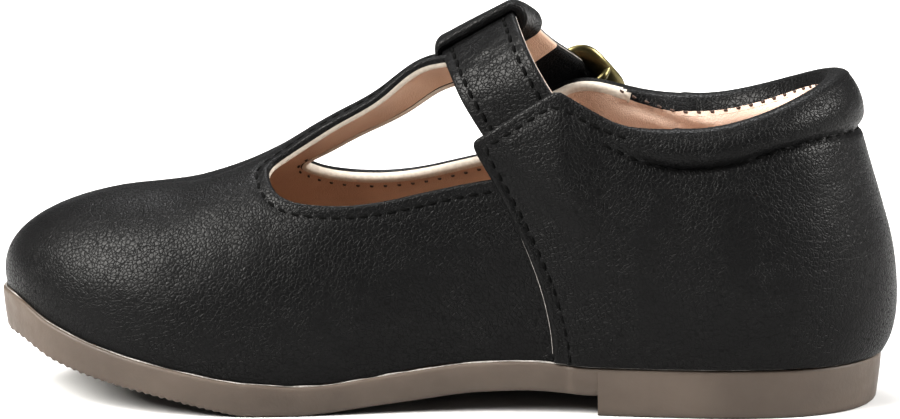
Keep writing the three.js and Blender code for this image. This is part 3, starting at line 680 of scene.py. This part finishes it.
def add_stitches(skin, finish, path, normal, length=1.8, radius=0.3, sink=0.12):
    """A row of short fat threads, each a little askew, with its ends sunk in the leather."""
    pitch, ends, sides = 2.5, 1.2, 7
    spot = spread(path, pitch, ends)
    along = unit(np.gradient(path, axis=0))
    centre, axis, up = sample(path, spot), unit(sample(along, spot)), unit(sample(normal, spot))
    s = np.array([-1, -0.9, -0.55, 0, 0.55, 0.9, 1])[:, None]
    girth = np.array([0.35, 0.75, 1, 1.05, 1, 0.75, 0.35])[:, None, None] * radius
    lift = 0.22 * (1 - s**4) - 0.12
    a = 2 * math.pi * np.arange(sides)[:, None] / sides
    for c, x, z in zip(centre, axis, up):
        y = np.cross(x, z)
        x = unit(x + 0.1 * y)
        middle = c + x * (s * length / 2) + z * (lift - sink)
        rows = skin.add(middle[:, None] + girth * (np.cos(a) * y + np.sin(a) * z))
        skin.join(finish, rows, turned=True, capped=True)


# The sole


def outline(u, outward):
    """The form's foot line, moved outward in plan."""
    probe, foot = 0.01, np.zeros_like(u)
    p = form(u, foot)
    along = form(u + probe, foot) - form(u - probe, foot)
    out = unit(np.stack([-along[:, 1], along[:, 0], np.zeros(len(u))], axis=1))
    return p + out * outward


def ladder(skin, finish, row, turned):
    """Closes a ring with rungs between each point and its mirror."""
    n = len(row)
    for i in range(n // 2):
        corners = [row[i], row[i + 1], row[(n - i - 1) % n], row[(n - i) % n]]
        kept = list(dict.fromkeys(corners))
        if len(kept) > 2:
            skin.face(finish, [tuple(kept[::-1] if turned else kept)])


TEETH = 1.4  # the pitch of the fine ribs under the toe


def tread(x):
    """The underside's fine ribs, from the toe to the ball."""
    depth, start, fade = 0.26, 30, 10
    wave = np.abs(np.mod(x / TEETH, 1) * 2 - 1)
    return depth * smooth(wave * 1.6 - 0.3) * smooth((x - start) / fade)


def sole_places():
    """Places round the sole: inner ones to the toe, outer ones back, in mirrored pairs. At the heel
    block's front two places lie close together, so that the sole steps down there."""
    sides = []
    inner = np.linspace(0, LAST_ROW, 561)
    step = 0.0015
    for side, values in ((1, inner), (-1, ROUND - inner)):
        x = outline(values, SOLE_RIM - SOLE_TAPER)[:, 0]
        k = int(np.argmax(x > BREAST))
        spot = lerp(values[k - 1], values[k], (BREAST - x[k - 1]) / (x[k] - x[k - 1]))
        first = k if side > 0 else first
        cut = (spot - side * step, spot + side * step)
        sides.append(np.concatenate([values[:first], cut, values[first:]]))
    heel = np.arange(len(sides[0])) <= first
    return (np.concatenate([a, b[1:-1][::-1]]) for a, b in (sides, (heel, heel)))


def build_sole(material):
    u, heel = sole_places()
    rim = outline(u, SOLE_RIM)
    top, under = sole_top(rim[:, 0]), np.where(heel, 0, sole_under(rim[:, 0]))
    # The section from the top's inner edge to the underside: the inset from the rim, and the height
    section = [
        (2.6, top - 0.3),
        (0.9, top - 0.06),
        (0.45, top),
        (0.16, top - 0.1),
        (0.02, top - 0.34),
        (0.0, top - 0.8),
        (SOLE_TAPER * 0.2, lerp(top, under, 0.35)),
        (SOLE_TAPER * 0.42, lerp(top, under, 0.58)),
        (SOLE_TAPER * 0.8, under + 1.1),
        (SOLE_TAPER * 0.88, under + 0.6),
        (SOLE_TAPER + 0.08, under + 0.25),
        (SOLE_TAPER + 0.3, under + 0.06),
        (SOLE_TAPER + 0.7, under),
    ]
    # The ribs fade in over the section's lower rows
    skin = Skin()
    rows = []
    for k, (inset, z) in enumerate(section):
        p = outline(u, SOLE_RIM - inset)
        p[:, 2] = z + tread(p[:, 0]) * smooth((k - 7) / 3.5)
        rows.append(skin.add(p))
    skin.join("rubber", rows)
    ladder(skin, "rubber", rows[0], True)
    ladder(skin, "rubber", rows[-1], False)
    sole = skin.object("sole", "rubber", material, "sole_rubber")
    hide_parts("outsole")


def build_footbed(material):
    n, dip = 420, 0.5
    edge = WALL + GAP + 0.9
    u = np.arange(n) / n * ROUND
    skin = Skin()
    rows = []
    for inset, lift in ((0.4, 0.0), (0.0, 0.5), (0.0, 1.6), (0.15, 1.95), (0.6, 2.2)):
        p = outline(u, -edge - inset)
        p[:, 2] = sole_top(p[:, 0]) + GAP + lift
        rows.append(skin.add(p))
    skin.join("lining", rows)
    ladder(skin, "lining", rows[0], True)
    # The top dips a little from both edges
    half = np.arange(n // 2 + 1)
    across = np.linspace(0, 1, 17)
    top = lerp(p[half][:, None], p[(n - half) % n][:, None], across[None, :, None])
    top[..., 2] -= dip * np.sin(math.pi * across) ** 0.7
    skin.join("lining", skin.add(top), closed=False, turned=True)
    bed = skin.object("footbed", "lining", material, "lining", flip=True)
    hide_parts("insole")


# The strap's own axes


def centripetal(points, t):
    """A centripetal Catmull-Rom curve through points."""
    p = np.asarray(points, float)
    padded = np.vstack([2 * p[0] - p[1], p, 2 * p[-1] - p[-2]])
    x = np.asarray(t) * (len(p) - 1)
    i = np.clip(np.floor(x).astype(int), 0, len(p) - 2)
    f = (x - i)[:, None]
    p0, p1, p2, p3 = padded[i], padded[i + 1], padded[i + 2], padded[i + 3]
    d0, d1, d2 = (np.linalg.norm(b - a, axis=1)[:, None] ** 0.5 for a, b in ((p0, p1), (p1, p2), (p2, p3)))
    m1 = ((p1 - p0) / d0 - (p2 - p0) / (d0 + d1) + (p2 - p1) / d1) * d1
    m2 = ((p2 - p1) / d1 - (p3 - p1) / (d1 + d2) + (p3 - p2) / d2) * d1
    return p1 + m1 * f + (-3 * p1 + 3 * p2 - 2 * m1 - m2) * f**2 + (2 * p1 - 2 * p2 + m1 + m2) * f**3


_rows = np.array(STRAP_ROWS)
_t = np.linspace(0, 1, 2001)
_strap_line = centripetal(np.stack([at(_rows[:, 0]), _rows[:, 1] * BALL, _rows[:, 2] * INSTEP], axis=1), _t)
_strap_lean = centripetal(_rows[:, 3:6], _t)
_run = np.concatenate([[0], np.cumsum(np.linalg.norm(np.diff(_strap_line, axis=0), axis=1))])
STRAP_LENGTH = _run[-1]
_strap_along = unit(np.gradient(_strap_line, axis=0))


def strap_axes(share):
    """The strap's middle, and the ways along, across and away from it, at a share of its length."""
    share = np.atleast_1d(np.asarray(share, float))
    spot = np.interp(share * STRAP_LENGTH, _run, np.arange(len(_t)))
    beyond = (share * STRAP_LENGTH - np.clip(share, 0, 1) * STRAP_LENGTH)[:, None]
    centre, along = sample(_strap_line, spot), unit(sample(_strap_along, spot))
    centre = centre + along * beyond
    across = sample(_strap_lean, spot)
    across = unit(across - along * (across * along).sum(axis=1, keepdims=True))
    return centre, along, across, unit(np.cross(along, across))


def beside(share, across, away):
    """Places at a share of the strap's length, so far across it and away from it."""
    c, _, x, z = strap_axes(share)
    return c + x * np.reshape(across, (-1, 1)) + z * np.reshape(away, (-1, 1))


STRAP_WIDTH, STRAP_THICK = 15.0, 2.0
BUCKLE_SHARE, LOOP_SHARE = 0.762, 0.385
BUCKLE_WIRE, BUCKLE_SPAN, BUCKLE_REACH = 2.2, 22.0, 15.5
PIN, PRONG, CHAPE_THICK, CHAPE_WIDTH, CHAPE_LENGTH = 0.8, 0.7, 0.9, 12.4, 11.0
FRAME_ALONG, FRAME_ACROSS = (BUCKLE_REACH - BUCKLE_WIRE) / 2, (BUCKLE_SPAN - BUCKLE_WIRE) / 2
PIN_CLEAR = PIN + GAP
FOLD = PIN_CLEAR + CHAPE_THICK
STRAP_RISE = 1.2
PIN_AWAY = STRAP_RISE - STRAP_THICK / 2 - GAP - FOLD
FRAME_AWAY = STRAP_THICK / 2 + GAP + BUCKLE_WIRE / 2
RAIL_AWAY = -0.6
BLACK_FROM = 0.6  # from here to the tip the strap's back is black leather too


def strap_hump(share):
    return STRAP_RISE * (1 - smooth(np.abs(share - BUCKLE_SHARE) * STRAP_LENGTH / FRAME_ALONG))


def share_at(along):
    return BUCKLE_SHARE + np.asarray(along, float) / STRAP_LENGTH


def mirrored(rows):
    return [(-x, inset, away) for x, inset, away in reversed(rows)]


def build_strap(leather, lining, raw):
    steps, tip = 330, 0.07
    shares = np.linspace(0, 1, steps)
    left = np.clip((1 - shares) / tip, 0, 1)
    width = STRAP_WIDTH / 2 * np.sqrt(np.clip(1 - (1 - left) ** 2, 0.012, 1))
    # Each place of the section: across as a share of the half width, an inset, and away
    inner = [(x * 0.985, 0.0, 1.0) for x in np.linspace(-1, 1, 25)[1:-1]]
    top = [(-1, 0.45, 0.99), *inner, (1, 0.45, 0.99)]
    roll = [(1, 0.2, 0.93), (1, 0.04, 0.74), (1, 0.0, 0.45), (1, 0.02, 0.02)]
    raw_edge = [(1, 0.02, 0.02), (1, -0.04, -0.12), (1, 0.03, -0.3)]
    below = [(1, 0.03, -0.3), (1, 0.1, -0.75), (1, 0.35, -0.95), (0.8, 0, -1), (0, 0, -1)]
    sections = {
        "leather": mirrored(roll) + top + roll + [(1, 0.03, -0.3)],
        "raw": mirrored(raw_edge),
        "lining": below + mirrored(below)[1:],
    }
    skin = Skin()
    black = int(steps * BLACK_FROM)
    for finish, section in sections.items():
        rows = []
        for x, inset, away in section:
            across = x * np.maximum(width - inset, 0.02) if abs(x) == 1 else x * width
            lift = away + strap_hump(shares)
            if finish == "leather" and away > 0.9:
                lift = lift + trough(width - np.abs(across) - SEAM_INSET, 0.14, 0.55)
                lift = lift + wrinkle(shares, across)
            rows.append(skin.add(beside(shares, across, lift)))
        if finish == "lining":
            skin.join("leather", [row[black:] for row in rows], closed=False, turned=True)
            rows = [row[: black + 1] for row in rows]
        skin.join(finish, rows, closed=False, turned=True)
    strap = skin.object("ankle_strap", "leather", leather, "strap_leather", flip=True)
    skin.object("ankle_strap_raw_edge", "raw", raw, "strap_leather", flip=True)
    skin.object("ankle_strap_lining", "lining", lining, "lining", flip=True)
    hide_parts("strap")


def wrinkle(share, across):
    """Creases across the strap just below the loop on the inner side, and near the buckle."""
    s = share * STRAP_LENGTH
    below_loop, past_buckle = 19, BUCKLE_SHARE * STRAP_LENGTH + 12
    near, far = -trough(s - below_loop, 0.11, 7), -trough(s - past_buckle, 0.07, 5)
    place = np.stack([s, across * 0.3, 0.15 * s * across / STRAP_WIDTH], axis=1)
    folds = smooth_noise(place, 1.0, 11) + 0.8 * smooth_noise(place, 2.1, 12)
    return folds * (near + far + 0.02)


def section_ring(half_width, half_height, corner):
    """A rectangle with rounded corners, as (across, away) pairs."""
    out, step = [], 0.9
    for cx, cz, start in ((1, 1, 0), (-1, 1, 90), (-1, -1, 180), (1, -1, 270)):
        a = np.radians(start + 10 * np.arange(10))
        x = cx * (half_width - corner) + corner * np.cos(a)
        z = cz * (half_height - corner) + corner * np.sin(a)
        out.extend(np.stack([x, z], axis=1))
    fine = []
    for a, b in zip(out, out[1:] + out[:1]):
        pieces = max(1, int(np.linalg.norm(b - a) / step))
        fine.extend(lerp(a, b, k / pieces) for k in range(pieces))
    return np.array(fine)


def build_loop(skin):
    """The T-bar's end folded over the strap as a flat sleeve."""
    leather = 1.6
    w, h = STRAP_WIDTH / 2 + GAP, STRAP_THICK / 2 + GAP
    # The wall on the toe side is thinner than the leather elsewhere
    toe_wall, outer_corner, inner_corner = 0.9, 2.6, 1.0
    outer = section_ring(w + leather, h + leather, outer_corner)
    narrowed = outer[:, 0] * (w + toe_wall) / (w + leather)
    outer[:, 0] = np.where(outer[:, 0] > 0, narrowed, outer[:, 0])
    inner = section_ring(w, h, inner_corner)
    spot = np.linspace(0, len(inner) - 1e-6, len(outer), endpoint=False)
    inner = sample(np.vstack([inner, inner[:1]]), spot)
    half = BAR_TOP / 2
    # Along the sleeve: the place, and how far its section is from the inner one to the outer one
    ends = [(-half, 0.55), (-half + 0.16, 0.86), (-half + 0.5, 1.0)]
    middle = [(x, 1.0) for x in np.linspace(-half + 1, half - 1, 24)]
    rows = []
    for along, f in ends + middle + [(-x, f) for x, f in reversed(ends)]:
        section = lerp(inner, outer, f)
        share = np.full(len(section), LOOP_SHARE + along / STRAP_LENGTH)
        p = beside(share, *section.T)
        bumps = smooth_noise(p, 5, 5) * 0.14 + smooth_noise(p, 2.6, 6) * 0.05
        rows.append(skin.add(beside(share, *(section + unit(section) * bumps[:, None]).T)))
    for along in (half - 0.3, 0, -half + 0.3):
        share = np.full(len(inner), LOOP_SHARE + along / STRAP_LENGTH)
        rows.append(skin.add(beside(share, *inner.T)))
    skin.join("leather", rows + rows[:1])


def build_buckle_rim(metal):
    """The buckle's flat rim, bent over the strap, and its middle bar."""
    up = strap_axes(BUCKLE_SHARE)[3][0]
    inset, squareness, bend, radius, flat = 0.8, 0.36, 1.3, 1.9, 0.5
    a = np.arange(160) / 160 * 2 * math.pi
    c, s = np.cos(a), np.sin(a)
    along = (FRAME_ALONG - inset) * np.sign(c) * np.abs(c) ** squareness
    across = (FRAME_ACROSS - inset) * np.sign(s) * np.abs(s) ** squareness
    ring = beside(share_at(along), across, lerp(RAIL_AWAY, FRAME_AWAY, (along / FRAME_ALONG) ** 2))
    for _ in range(2):
        ring = 0.25 * np.roll(ring, 1, axis=0) + 0.5 * ring + 0.25 * np.roll(ring, -1, axis=0)
    skin = Skin()
    tube(skin, "metal", ring, radius, 20, True, up, flat)
    across = [-FRAME_ACROSS, bend - FRAME_ACROSS, FRAME_ACROSS - bend, FRAME_ACROSS]
    pin = beside(share_at(np.zeros(4)), across, [RAIL_AWAY, PIN_AWAY, PIN_AWAY, RAIL_AWAY])
    tube(skin, "metal", sample(pin, np.linspace(0, 3, 25)), PIN, 12, False, up)
    rim = skin.object("buckle_rim", "metal", metal, "buckle_metal", flip=True)
    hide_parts("buckle_frame")


def build_prong(metal):
    """The prong: a hook round the middle bar, and a pin over the strap to the rim."""
    hook = PIN_CLEAR + PRONG
    rest = FRAME_AWAY + BUCKLE_WIRE / 2 + GAP + PRONG
    a = np.radians(np.linspace(-20, 120, 15))
    along = [*hook * np.cos(a), -FRAME_ALONG * 0.55, -FRAME_ALONG, -FRAME_ALONG - 1.6]
    away = [*PIN_AWAY + hook * np.sin(a), rest - 0.4, rest, rest - 0.2]
    line = beside(share_at(along), np.zeros(len(along)), away)
    spot = np.linspace(0, len(line) - 1, 60)
    taper = 0.9
    radii = PRONG * (1 - 0.35 * smooth((spot - spot[-1] + taper) / taper))
    skin = Skin()
    up = strap_axes(BUCKLE_SHARE)[3][0]
    tube(skin, "metal", evened(sample(line, spot), 4), radii, 12, False, up)
    prong = skin.object("buckle_pin_tongue", "metal", metal, "buckle_metal", flip=True)
    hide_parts("buckle_prong")


def build_buckle_fold(leather):
    """The leather tab folded round the middle bar. From there it rises towards the strap by a slope."""
    slope = 0.8
    turn = np.radians(np.linspace(60, 270, 20))
    section = [(FOLD * math.cos(a), PIN_AWAY + FOLD * math.sin(a)) for a in turn]
    for step, lift in ((1, 0), (-1, 2 * CHAPE_THICK)):
        for f in np.linspace(0.2, 1, 12)[::step]:
            section.append((CHAPE_LENGTH * f, PIN_AWAY - FOLD + slope * f + lift))
    along, away = np.array(section).T
    # Across the tab: the place, and how thick the section is there
    edge = CHAPE_WIDTH / 2
    ends = [(-edge, 0.8), (-edge + 0.12, 0.93), (-edge + 0.5, 1)]
    middle = [(y, 1) for y in np.linspace(-5, 5, 9)]
    skin = Skin()
    rows = []
    for y, share in ends + middle + [(-y, share) for y, share in reversed(ends)]:
        height = lerp(away.mean(), away, share)
        rows.append(skin.add(beside(share_at(along), np.full(len(along), y), height)))
    skin.join("leather", rows, capped=True)
    tab = skin.object("buckle_fold", "leather", leather, "upper_leather", flip=True)
    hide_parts("buckle_tab")


# Materials


class Nodes:
    """A material's node tree, with short ways to add and join nodes."""

    def __init__(self, name, **values):
        self.material = bpy.data.materials.new(name)
        self.material.use_nodes = True
        self.tree = self.material.node_tree
        self.shader = self.tree.nodes["Principled BSDF"]
        self.place = self.add("ShaderNodeTexCoord").outputs["Object"]
        self.set(**values)

    def add(self, kind, inputs=None, **settings):
        node = self.tree.nodes.new(kind)
        for name, value in settings.items():
            setattr(node, name, value)
        for name, value in (inputs or {}).items():
            self.put(value, node.inputs[name])
        return node

    def put(self, value, socket):
        if isinstance(value, bpy.types.NodeSocket):
            self.tree.links.new(value, socket)
        else:
            socket.default_value = (*value, 1) if socket.type == "RGBA" else value

    def set(self, **values):
        for name, value in values.items():
            self.put(value, self.shader.inputs[name.replace("_", " ")])

    def noise(self, scale, detail=3.0):
        inputs = {"Vector": self.place, "Scale": scale, "Detail": detail, "Roughness": 0.55}
        return self.add("ShaderNodeTexNoise", inputs).outputs["Fac"]

    def cells(self, scale, place):
        inputs = {"Vector": place, "Scale": scale}
        return self.add("ShaderNodeTexVoronoi", inputs, feature="DISTANCE_TO_EDGE").outputs["Distance"]

    def map(self, value, low, high, new_low=0.0, new_high=1.0):
        inputs = {"Value": value, "From Min": low, "From Max": high, "To Min": new_low, "To Max": new_high}
        return self.add("ShaderNodeMapRange", inputs, interpolation_type="SMOOTHSTEP").outputs["Result"]

    def math(self, kind, a, b):
        return self.add("ShaderNodeMath", {0: a, 1: b}, operation=kind).outputs[0]

    def mix(self, factor, a, b):
        # A mix node has its colours at 6 and 7, and the mixed colour at 2
        return self.add("ShaderNodeMix", data_type="RGBA", inputs={0: factor, 6: a, 7: b}).outputs[2]

    def axis(self, name):
        return self.add("ShaderNodeSeparateXYZ", {"Vector": self.place}).outputs[name]

    def bent(self, scale, amount):
        """The place moved a little by noise, so that cells aren't straight-edged."""
        noise = self.add("ShaderNodeTexNoise", {"Vector": self.place, "Scale": scale, "Detail": 1.0})
        inputs = {0: noise.outputs["Color"], 1: (0.5, 0.5, 0.5)}
        away = self.add("ShaderNodeVectorMath", inputs, operation="SUBTRACT").outputs[0]
        inputs = {0: away, 1: (amount,) * 3, 2: self.place}
        return self.add("ShaderNodeVectorMath", inputs, operation="MULTIPLY_ADD").outputs[0]

    def bump(self, height, distance):
        node = self.add("ShaderNodeBump", {"Height": height, "Distance": distance})
        self.set(Normal=node.outputs["Normal"])


def leather_material(name):
    """Pebbled grain: small domed cells with narrow valleys, in patches of more and less depth."""
    cell, coarse_cell, relief = 0.00074, 0.00074 * 2.6, 0.000055
    n = Nodes(name, Specular_IOR_Level=0.13)
    bent = n.bent(700, 0.0007)
    edge = n.cells(1 / cell, bent)
    pebble, dome = n.map(edge, 0.0, 0.11), n.map(edge, 0.0, 0.4)
    coarse = n.map(n.cells(1 / coarse_cell, bent), 0.0, 0.07)
    depth = n.map(n.noise(140), 0.35, 0.65, 0.35)
    height = n.math("MULTIPLY", pebble, depth)
    for layer, share in ((dome, 0.35), (coarse, 0.45), (n.noise(2600, 1.0), 0.12)):
        height = n.math("ADD", height, n.math("MULTIPLY", layer, share))
    n.bump(height, relief)
    # The valleys' darker base colour is painted shade
    n.set(Base_Color=n.mix(pebble, (0.001, 0.001, 0.0011), (0.0031, 0.0031, 0.0033)))
    n.set(Roughness=n.map(pebble, 0.0, 1.0, 0.7, 0.37))
    return n.material


def lining_material():
    """Brown towards the toe, darkened there as painted shade, and paler at the heel."""
    n = Nodes("lining_leather", Roughness=0.6)
    soft = n.map(n.noise(70), 0.3, 0.7)
    grain = n.cells(2300, n.bent(1200, 0.0004))
    # The toe's darker browns are painted shade on the one lining leather
    toe = n.mix(soft, (0.4, 0.27, 0.195), (0.47, 0.325, 0.24))
    heel = n.mix(soft, (0.6, 0.45, 0.37), (0.68, 0.53, 0.445))
    n.set(Base_Color=n.mix(n.map(n.axis("X"), -0.045, -0.01), heel, toe))
    n.bump(n.math("ADD", n.map(grain, 0.0, 0.2, 0.0, 0.6), n.noise(900)), 0.00006)
    return n.material


def rubber_material():
    n = Nodes("moulded_rubber", Specular_IOR_Level=0.35, Subsurface_Weight=0.08)
    n.set(Subsurface_Radius=(0.002, 0.0014, 0.001))
    n.set(Base_Color=n.mix(n.map(n.noise(45, 4.0), 0.3, 0.7), (0.05, 0.038, 0.03), (0.07, 0.054, 0.043)))
    n.set(Roughness=n.map(n.noise(300), 0.3, 0.7, 0.5, 0.62))
    n.bump(n.noise(1600, 2.0), 0.00004)
    return n.material


def plain_material(name, color, other, roughness, scale, relief=0.00005, **values):
    """Two colours mixed by noise, which is the relief too."""
    n = Nodes(name, Roughness=roughness, **values)
    grain = n.noise(scale, 4.0)
    n.set(Base_Color=n.mix(n.map(grain, 0.3, 0.7), color, other))
    n.bump(grain, relief)
    return n.material


# Putting it together


def build_upper(leather, foam, lining):
    us, ts = grid_steps(5.25, ROUND - 5.25, 0.046), grid_steps(0, 1, 0.0098)
    vamp = build_sheet(us, ts, vamp_field, vamp_top, lambda u: EDGE)
    us, ts = grid_steps(-QUARTER_RIB - 0.02, QUARTER_RIB + 0.02, 0.056), grid_steps(0, 1, 0.0092)
    quarter = build_sheet(us, ts, quarter_field, quarter_top, edge_level)
    build_loop(vamp)
    front = vamp.object("vamp_and_t_bar", "leather", leather, "upper_leather")
    back = quarter.object("quarters_and_collar", "leather", leather, "upper_leather")
    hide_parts("upper")
    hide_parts("upper")
    vamp.object("vamp_foam_edge", "foam", foam, "lining")
    quarter.object("quarter_foam_edge", "foam", foam, "lining")
    quarter.object("collar_lining_edge", "inner", lining, "lining")

    def lining_left(u, t):
        opening = EDGE + FOAM_BAND - 0.1 + inside_drop(u)
        return lining_field(u, t) - lerp(opening, COLLAR_EDGE + 1.1, collar_share(u))

    places, faces, _ = trim(grid_steps(0, ROUND, 0.1), grid_steps(0, 1, 0.0155), lining_left)
    inside = Skin()
    inside.add(on_sheet(*places.T, inside_depth)[0])
    inside.face("lining", faces)
    inside.object("upper_lining", "lining", lining, "lining")


def lines_on(us, ts, field, level, top, keep):
    """Paths on a sheet at a level of its field where keep holds, with their normals."""
    out = []
    places, _, runs = trim(us, ts, lambda u, t: field(u, t) - level)
    for run in runs:
        u, t = evened(places[run], 3).T
        mask = keep(u, t)
        edges = np.flatnonzero(np.diff(mask.astype(int)))
        for part in np.split(np.arange(len(u)), edges + 1):
            if mask[part[0]] and len(part) > 6:
                p, n = on_sheet(u[part], t[part], top)
                out.append((evened(p, 2), n))
    return out


def build_stitches(thread):
    skin = Skin()
    inset = EDGE + SEAM_INSET - 0.6
    vamp = grid_steps(5.3, ROUND - 5.3, 0.1)
    quarter = grid_steps(-QUARTER_RIB - 0.02, QUARTER_RIB + 0.02, 0.1)
    ts = grid_steps(0, 1, 0.016)
    seams = lines_on(vamp, ts, vamp_field, inset, vamp_top, lambda u, t: from_heel(u) > 6.02)
    seams += lines_on(quarter, ts, quarter_field, inset, quarter_top, lambda u, t: collar_share(u) < 0.55)
    # The collar's seam, round the heel
    u = np.linspace(-4.25, 3.95, 330)
    seams.append(on_sheet(u, 1 - (collar_depth(u) + 0.2) / rib_length(u), quarter_top))
    # The strap's two rows, with none under the loop
    shares = np.linspace(0.06, 0.97, 400)
    loop_half = BAR_TOP / 2 / STRAP_LENGTH
    for side in (-1, 1):
        across = np.full(len(shares), side * (STRAP_WIDTH / 2 - SEAM_INSET))
        p = beside(shares, across, STRAP_THICK / 2 + strap_hump(shares))
        up = strap_axes(shares)[3]
        for part in (shares < LOOP_SHARE - loop_half, shares > LOOP_SHARE + loop_half):
            seams.append((p[part], up[part]))
    for path, normal in seams:
        add_stitches(skin, "thread", path, normal)
    skin.object("stitches", "thread", thread, "upper_leather", merge=False)


def build_lining_stitches(marks):
    """The same thread in the lining, below the openings' foam and below the collar."""
    skin = Skin()
    us, ts = grid_steps(6.1, ROUND - 6.1, 0.1), grid_steps(0, 1, 0.016)
    depth = lambda u, t: np.full(len(u), -WALL - 0.02)
    low = lambda u, t: form(u, t)[:, 2] < 43.5
    for p, n in lines_on(us, ts, vamp_field, EDGE + FOAM_BAND + 0.7, depth, low):
        add_stitches(skin, "marks", p, -n, length=0.75, radius=0.2, sink=0.0)
    u = np.linspace(-3.9, 3.9, 300)
    p, n = on_sheet(u, 1 - (COLLAR_EDGE + 0.9) / rib_length(u), inside_depth)
    add_stitches(skin, "marks", p, -n, length=0.9, radius=0.24, sink=0.0)
    skin.object("lining_stitches", "marks", marks, "lining", merge=False)


def build_raw_edges(raw):
    """The raw edge of the quarters' fronts, up to the tabs, and the line of glue over the sole."""
    lift, proud, radius, tab_inset = 0.45, 0.15, 0.065, 3.0
    skin = Skin()
    for side in (1, -1):
        t = np.linspace(0.02, 1, 200)
        u = np.full(len(t), side * (QUARTER_RIB - 0.005))
        gone = (quarter_field(u * 0.94, t) < tab_inset) & (t > 0.3)
        part = slice(0, int(np.argmax(gone)) if gone.any() else len(t))
        u, t = u[part], t[part]
        edge, _ = on_sheet(u, t, lambda u, t: leather_height(form(u, t)) + lift)
        forward = unit(form(u + side * 0.05, t) - form(u, t))
        tube(skin, "raw", edge + forward * proud, radius, 6)
    # The glue wanders up and down, in and out, and between thin and thick
    u = np.arange(900) / 900 * ROUND
    p = outline(u, 0.26)
    p[:, 2] = sole_top(p[:, 0]) + 0.08 + 0.07 * smooth_noise(p, 4, 9)
    p += (outline(u, 1.0) - outline(u, 0.0)) * (0.1 * smooth_noise(p, 7, 8))[:, None]
    tube(skin, "raw", p, np.maximum(0.02, 0.1 + 0.12 * smooth_noise(p, 3, 7)), 6, True)
    skin.object("raw_edges", "raw", raw, "upper_leather", flip=True)


def build_floor():
    """A pale floor that glows behind the shoe, so that the background is white."""
    reach = 8
    corners = [(-reach, -reach, 0), (reach, -reach, 0), (reach, reach, 0), (-reach, reach, 0)]
    mesh = bpy.data.meshes.new("floor")
    mesh.from_pydata(corners, [], [(0, 1, 2, 3)])
    floor = link("floor", mesh)
    n = Nodes("pale_floor", Base_Color=(0.55, 0.55, 0.55), Roughness=0.9, Specular_IOR_Level=0.0)
    n.set(Emission_Color=(1, 1, 1), Emission_Strength=n.map(n.axis("Y"), -0.7, -0.12, 0.8, 0.0))
    mesh.materials.append(n.material)


def point(obj, away):
    """Turns a lamp or a camera so that its back faces a direction."""
    obj.rotation_mode = "QUATERNION"
    obj.rotation_quaternion = (-away).to_track_quat("-Z", "Y")


def add_lamp(name, place, aim, size, power, color=(1, 1, 1)):
    data = bpy.data.lights.new(name, "AREA")
    data.size = size
    data.energy = power
    data.color = color
    lamp = link(name, data)
    lamp.location = place
    point(lamp, Vector(place) - Vector(aim))


def build_light():
    add_lamp("toe_side", (0.7, 0.5, 0.76), (0.03, 0, 0.03), 0.7, 42, (1, 0.98, 0.94))
    add_lamp("heel_side", (-0.95, 0.06, 0.58), (-0.05, 0, 0.05), 0.45, 22, (1, 0.98, 0.95))
    add_lamp("top_back", (0.1, -0.5, 1.0), (0, 0, 0.05), 0.5, 9)
    sky = bpy.data.lights.new("overhead", "SUN")
    sky.energy = 0.8
    sky.angle = math.radians(70)
    link("overhead", sky)
    world = bpy.data.worlds.new("studio")
    world.use_nodes = True
    background = world.node_tree.nodes["Background"]
    background.inputs["Color"].default_value = (1, 1, 1, 1)
    background.inputs["Strength"].default_value = 0.15
    bpy.context.scene.world = world
    bpy.context.scene.view_settings.view_transform = "Standard"
    bpy.context.scene.view_settings.look = "Medium High Contrast"


def build_camera():
    """Looks at the inner side from a little behind and above. A pixel there is so many metres."""
    yaw, elevation, distance = math.radians(5), math.radians(10), 0.8
    pixel, width, sensor = 0.000184, 900, 36
    level = math.cos(elevation)
    back = Vector((-math.sin(yaw) * level, math.cos(yaw) * level, math.sin(elevation)))
    data = bpy.data.cameras.new("camera")
    data.sensor_width = sensor
    data.lens = sensor * distance / (width * pixel)
    data.clip_start, data.clip_end = 0.01, 50
    camera = link("camera", data)
    camera.location = Vector((*SHIFT[:2] / 1000, 0.03347)) + back * distance
    point(camera, back)
    bpy.context.scene.camera = camera


leather = leather_material("pebbled_leather")
lining = lining_material()
foam = plain_material("foam_edge", (0.5, 0.46, 0.4), (0.42, 0.38, 0.33), 0.85, 1500)
raw = plain_material("raw_leather_edge", (0.3, 0.285, 0.27), (0.16, 0.15, 0.142), 0.8, 1300)
thread = plain_material(
    "thread", (0.0015, 0.0015, 0.0015), (0.003, 0.003, 0.003), 0.8, 4000, 0.00008, Specular_IOR_Level=0.06
)
marks = plain_material("lining_thread", (0.03, 0.016, 0.012), (0.06, 0.035, 0.025), 0.8, 2000)
brass = plain_material(
    "antique_brass", (0.075, 0.065, 0.032), (0.145, 0.124, 0.062), 0.32, 260, 0.00001, Metallic=1.0
)

build_sole(rubber_material())
build_footbed(lining)
build_upper(leather, foam, lining)
build_stitches(thread)
build_lining_stitches(marks)
build_raw_edges(raw)
build_strap(leather, lining, raw)
build_buckle_rim(brass)
build_prong(brass)
build_buckle_fold(leather)

build_floor()
build_camera()
build_light()
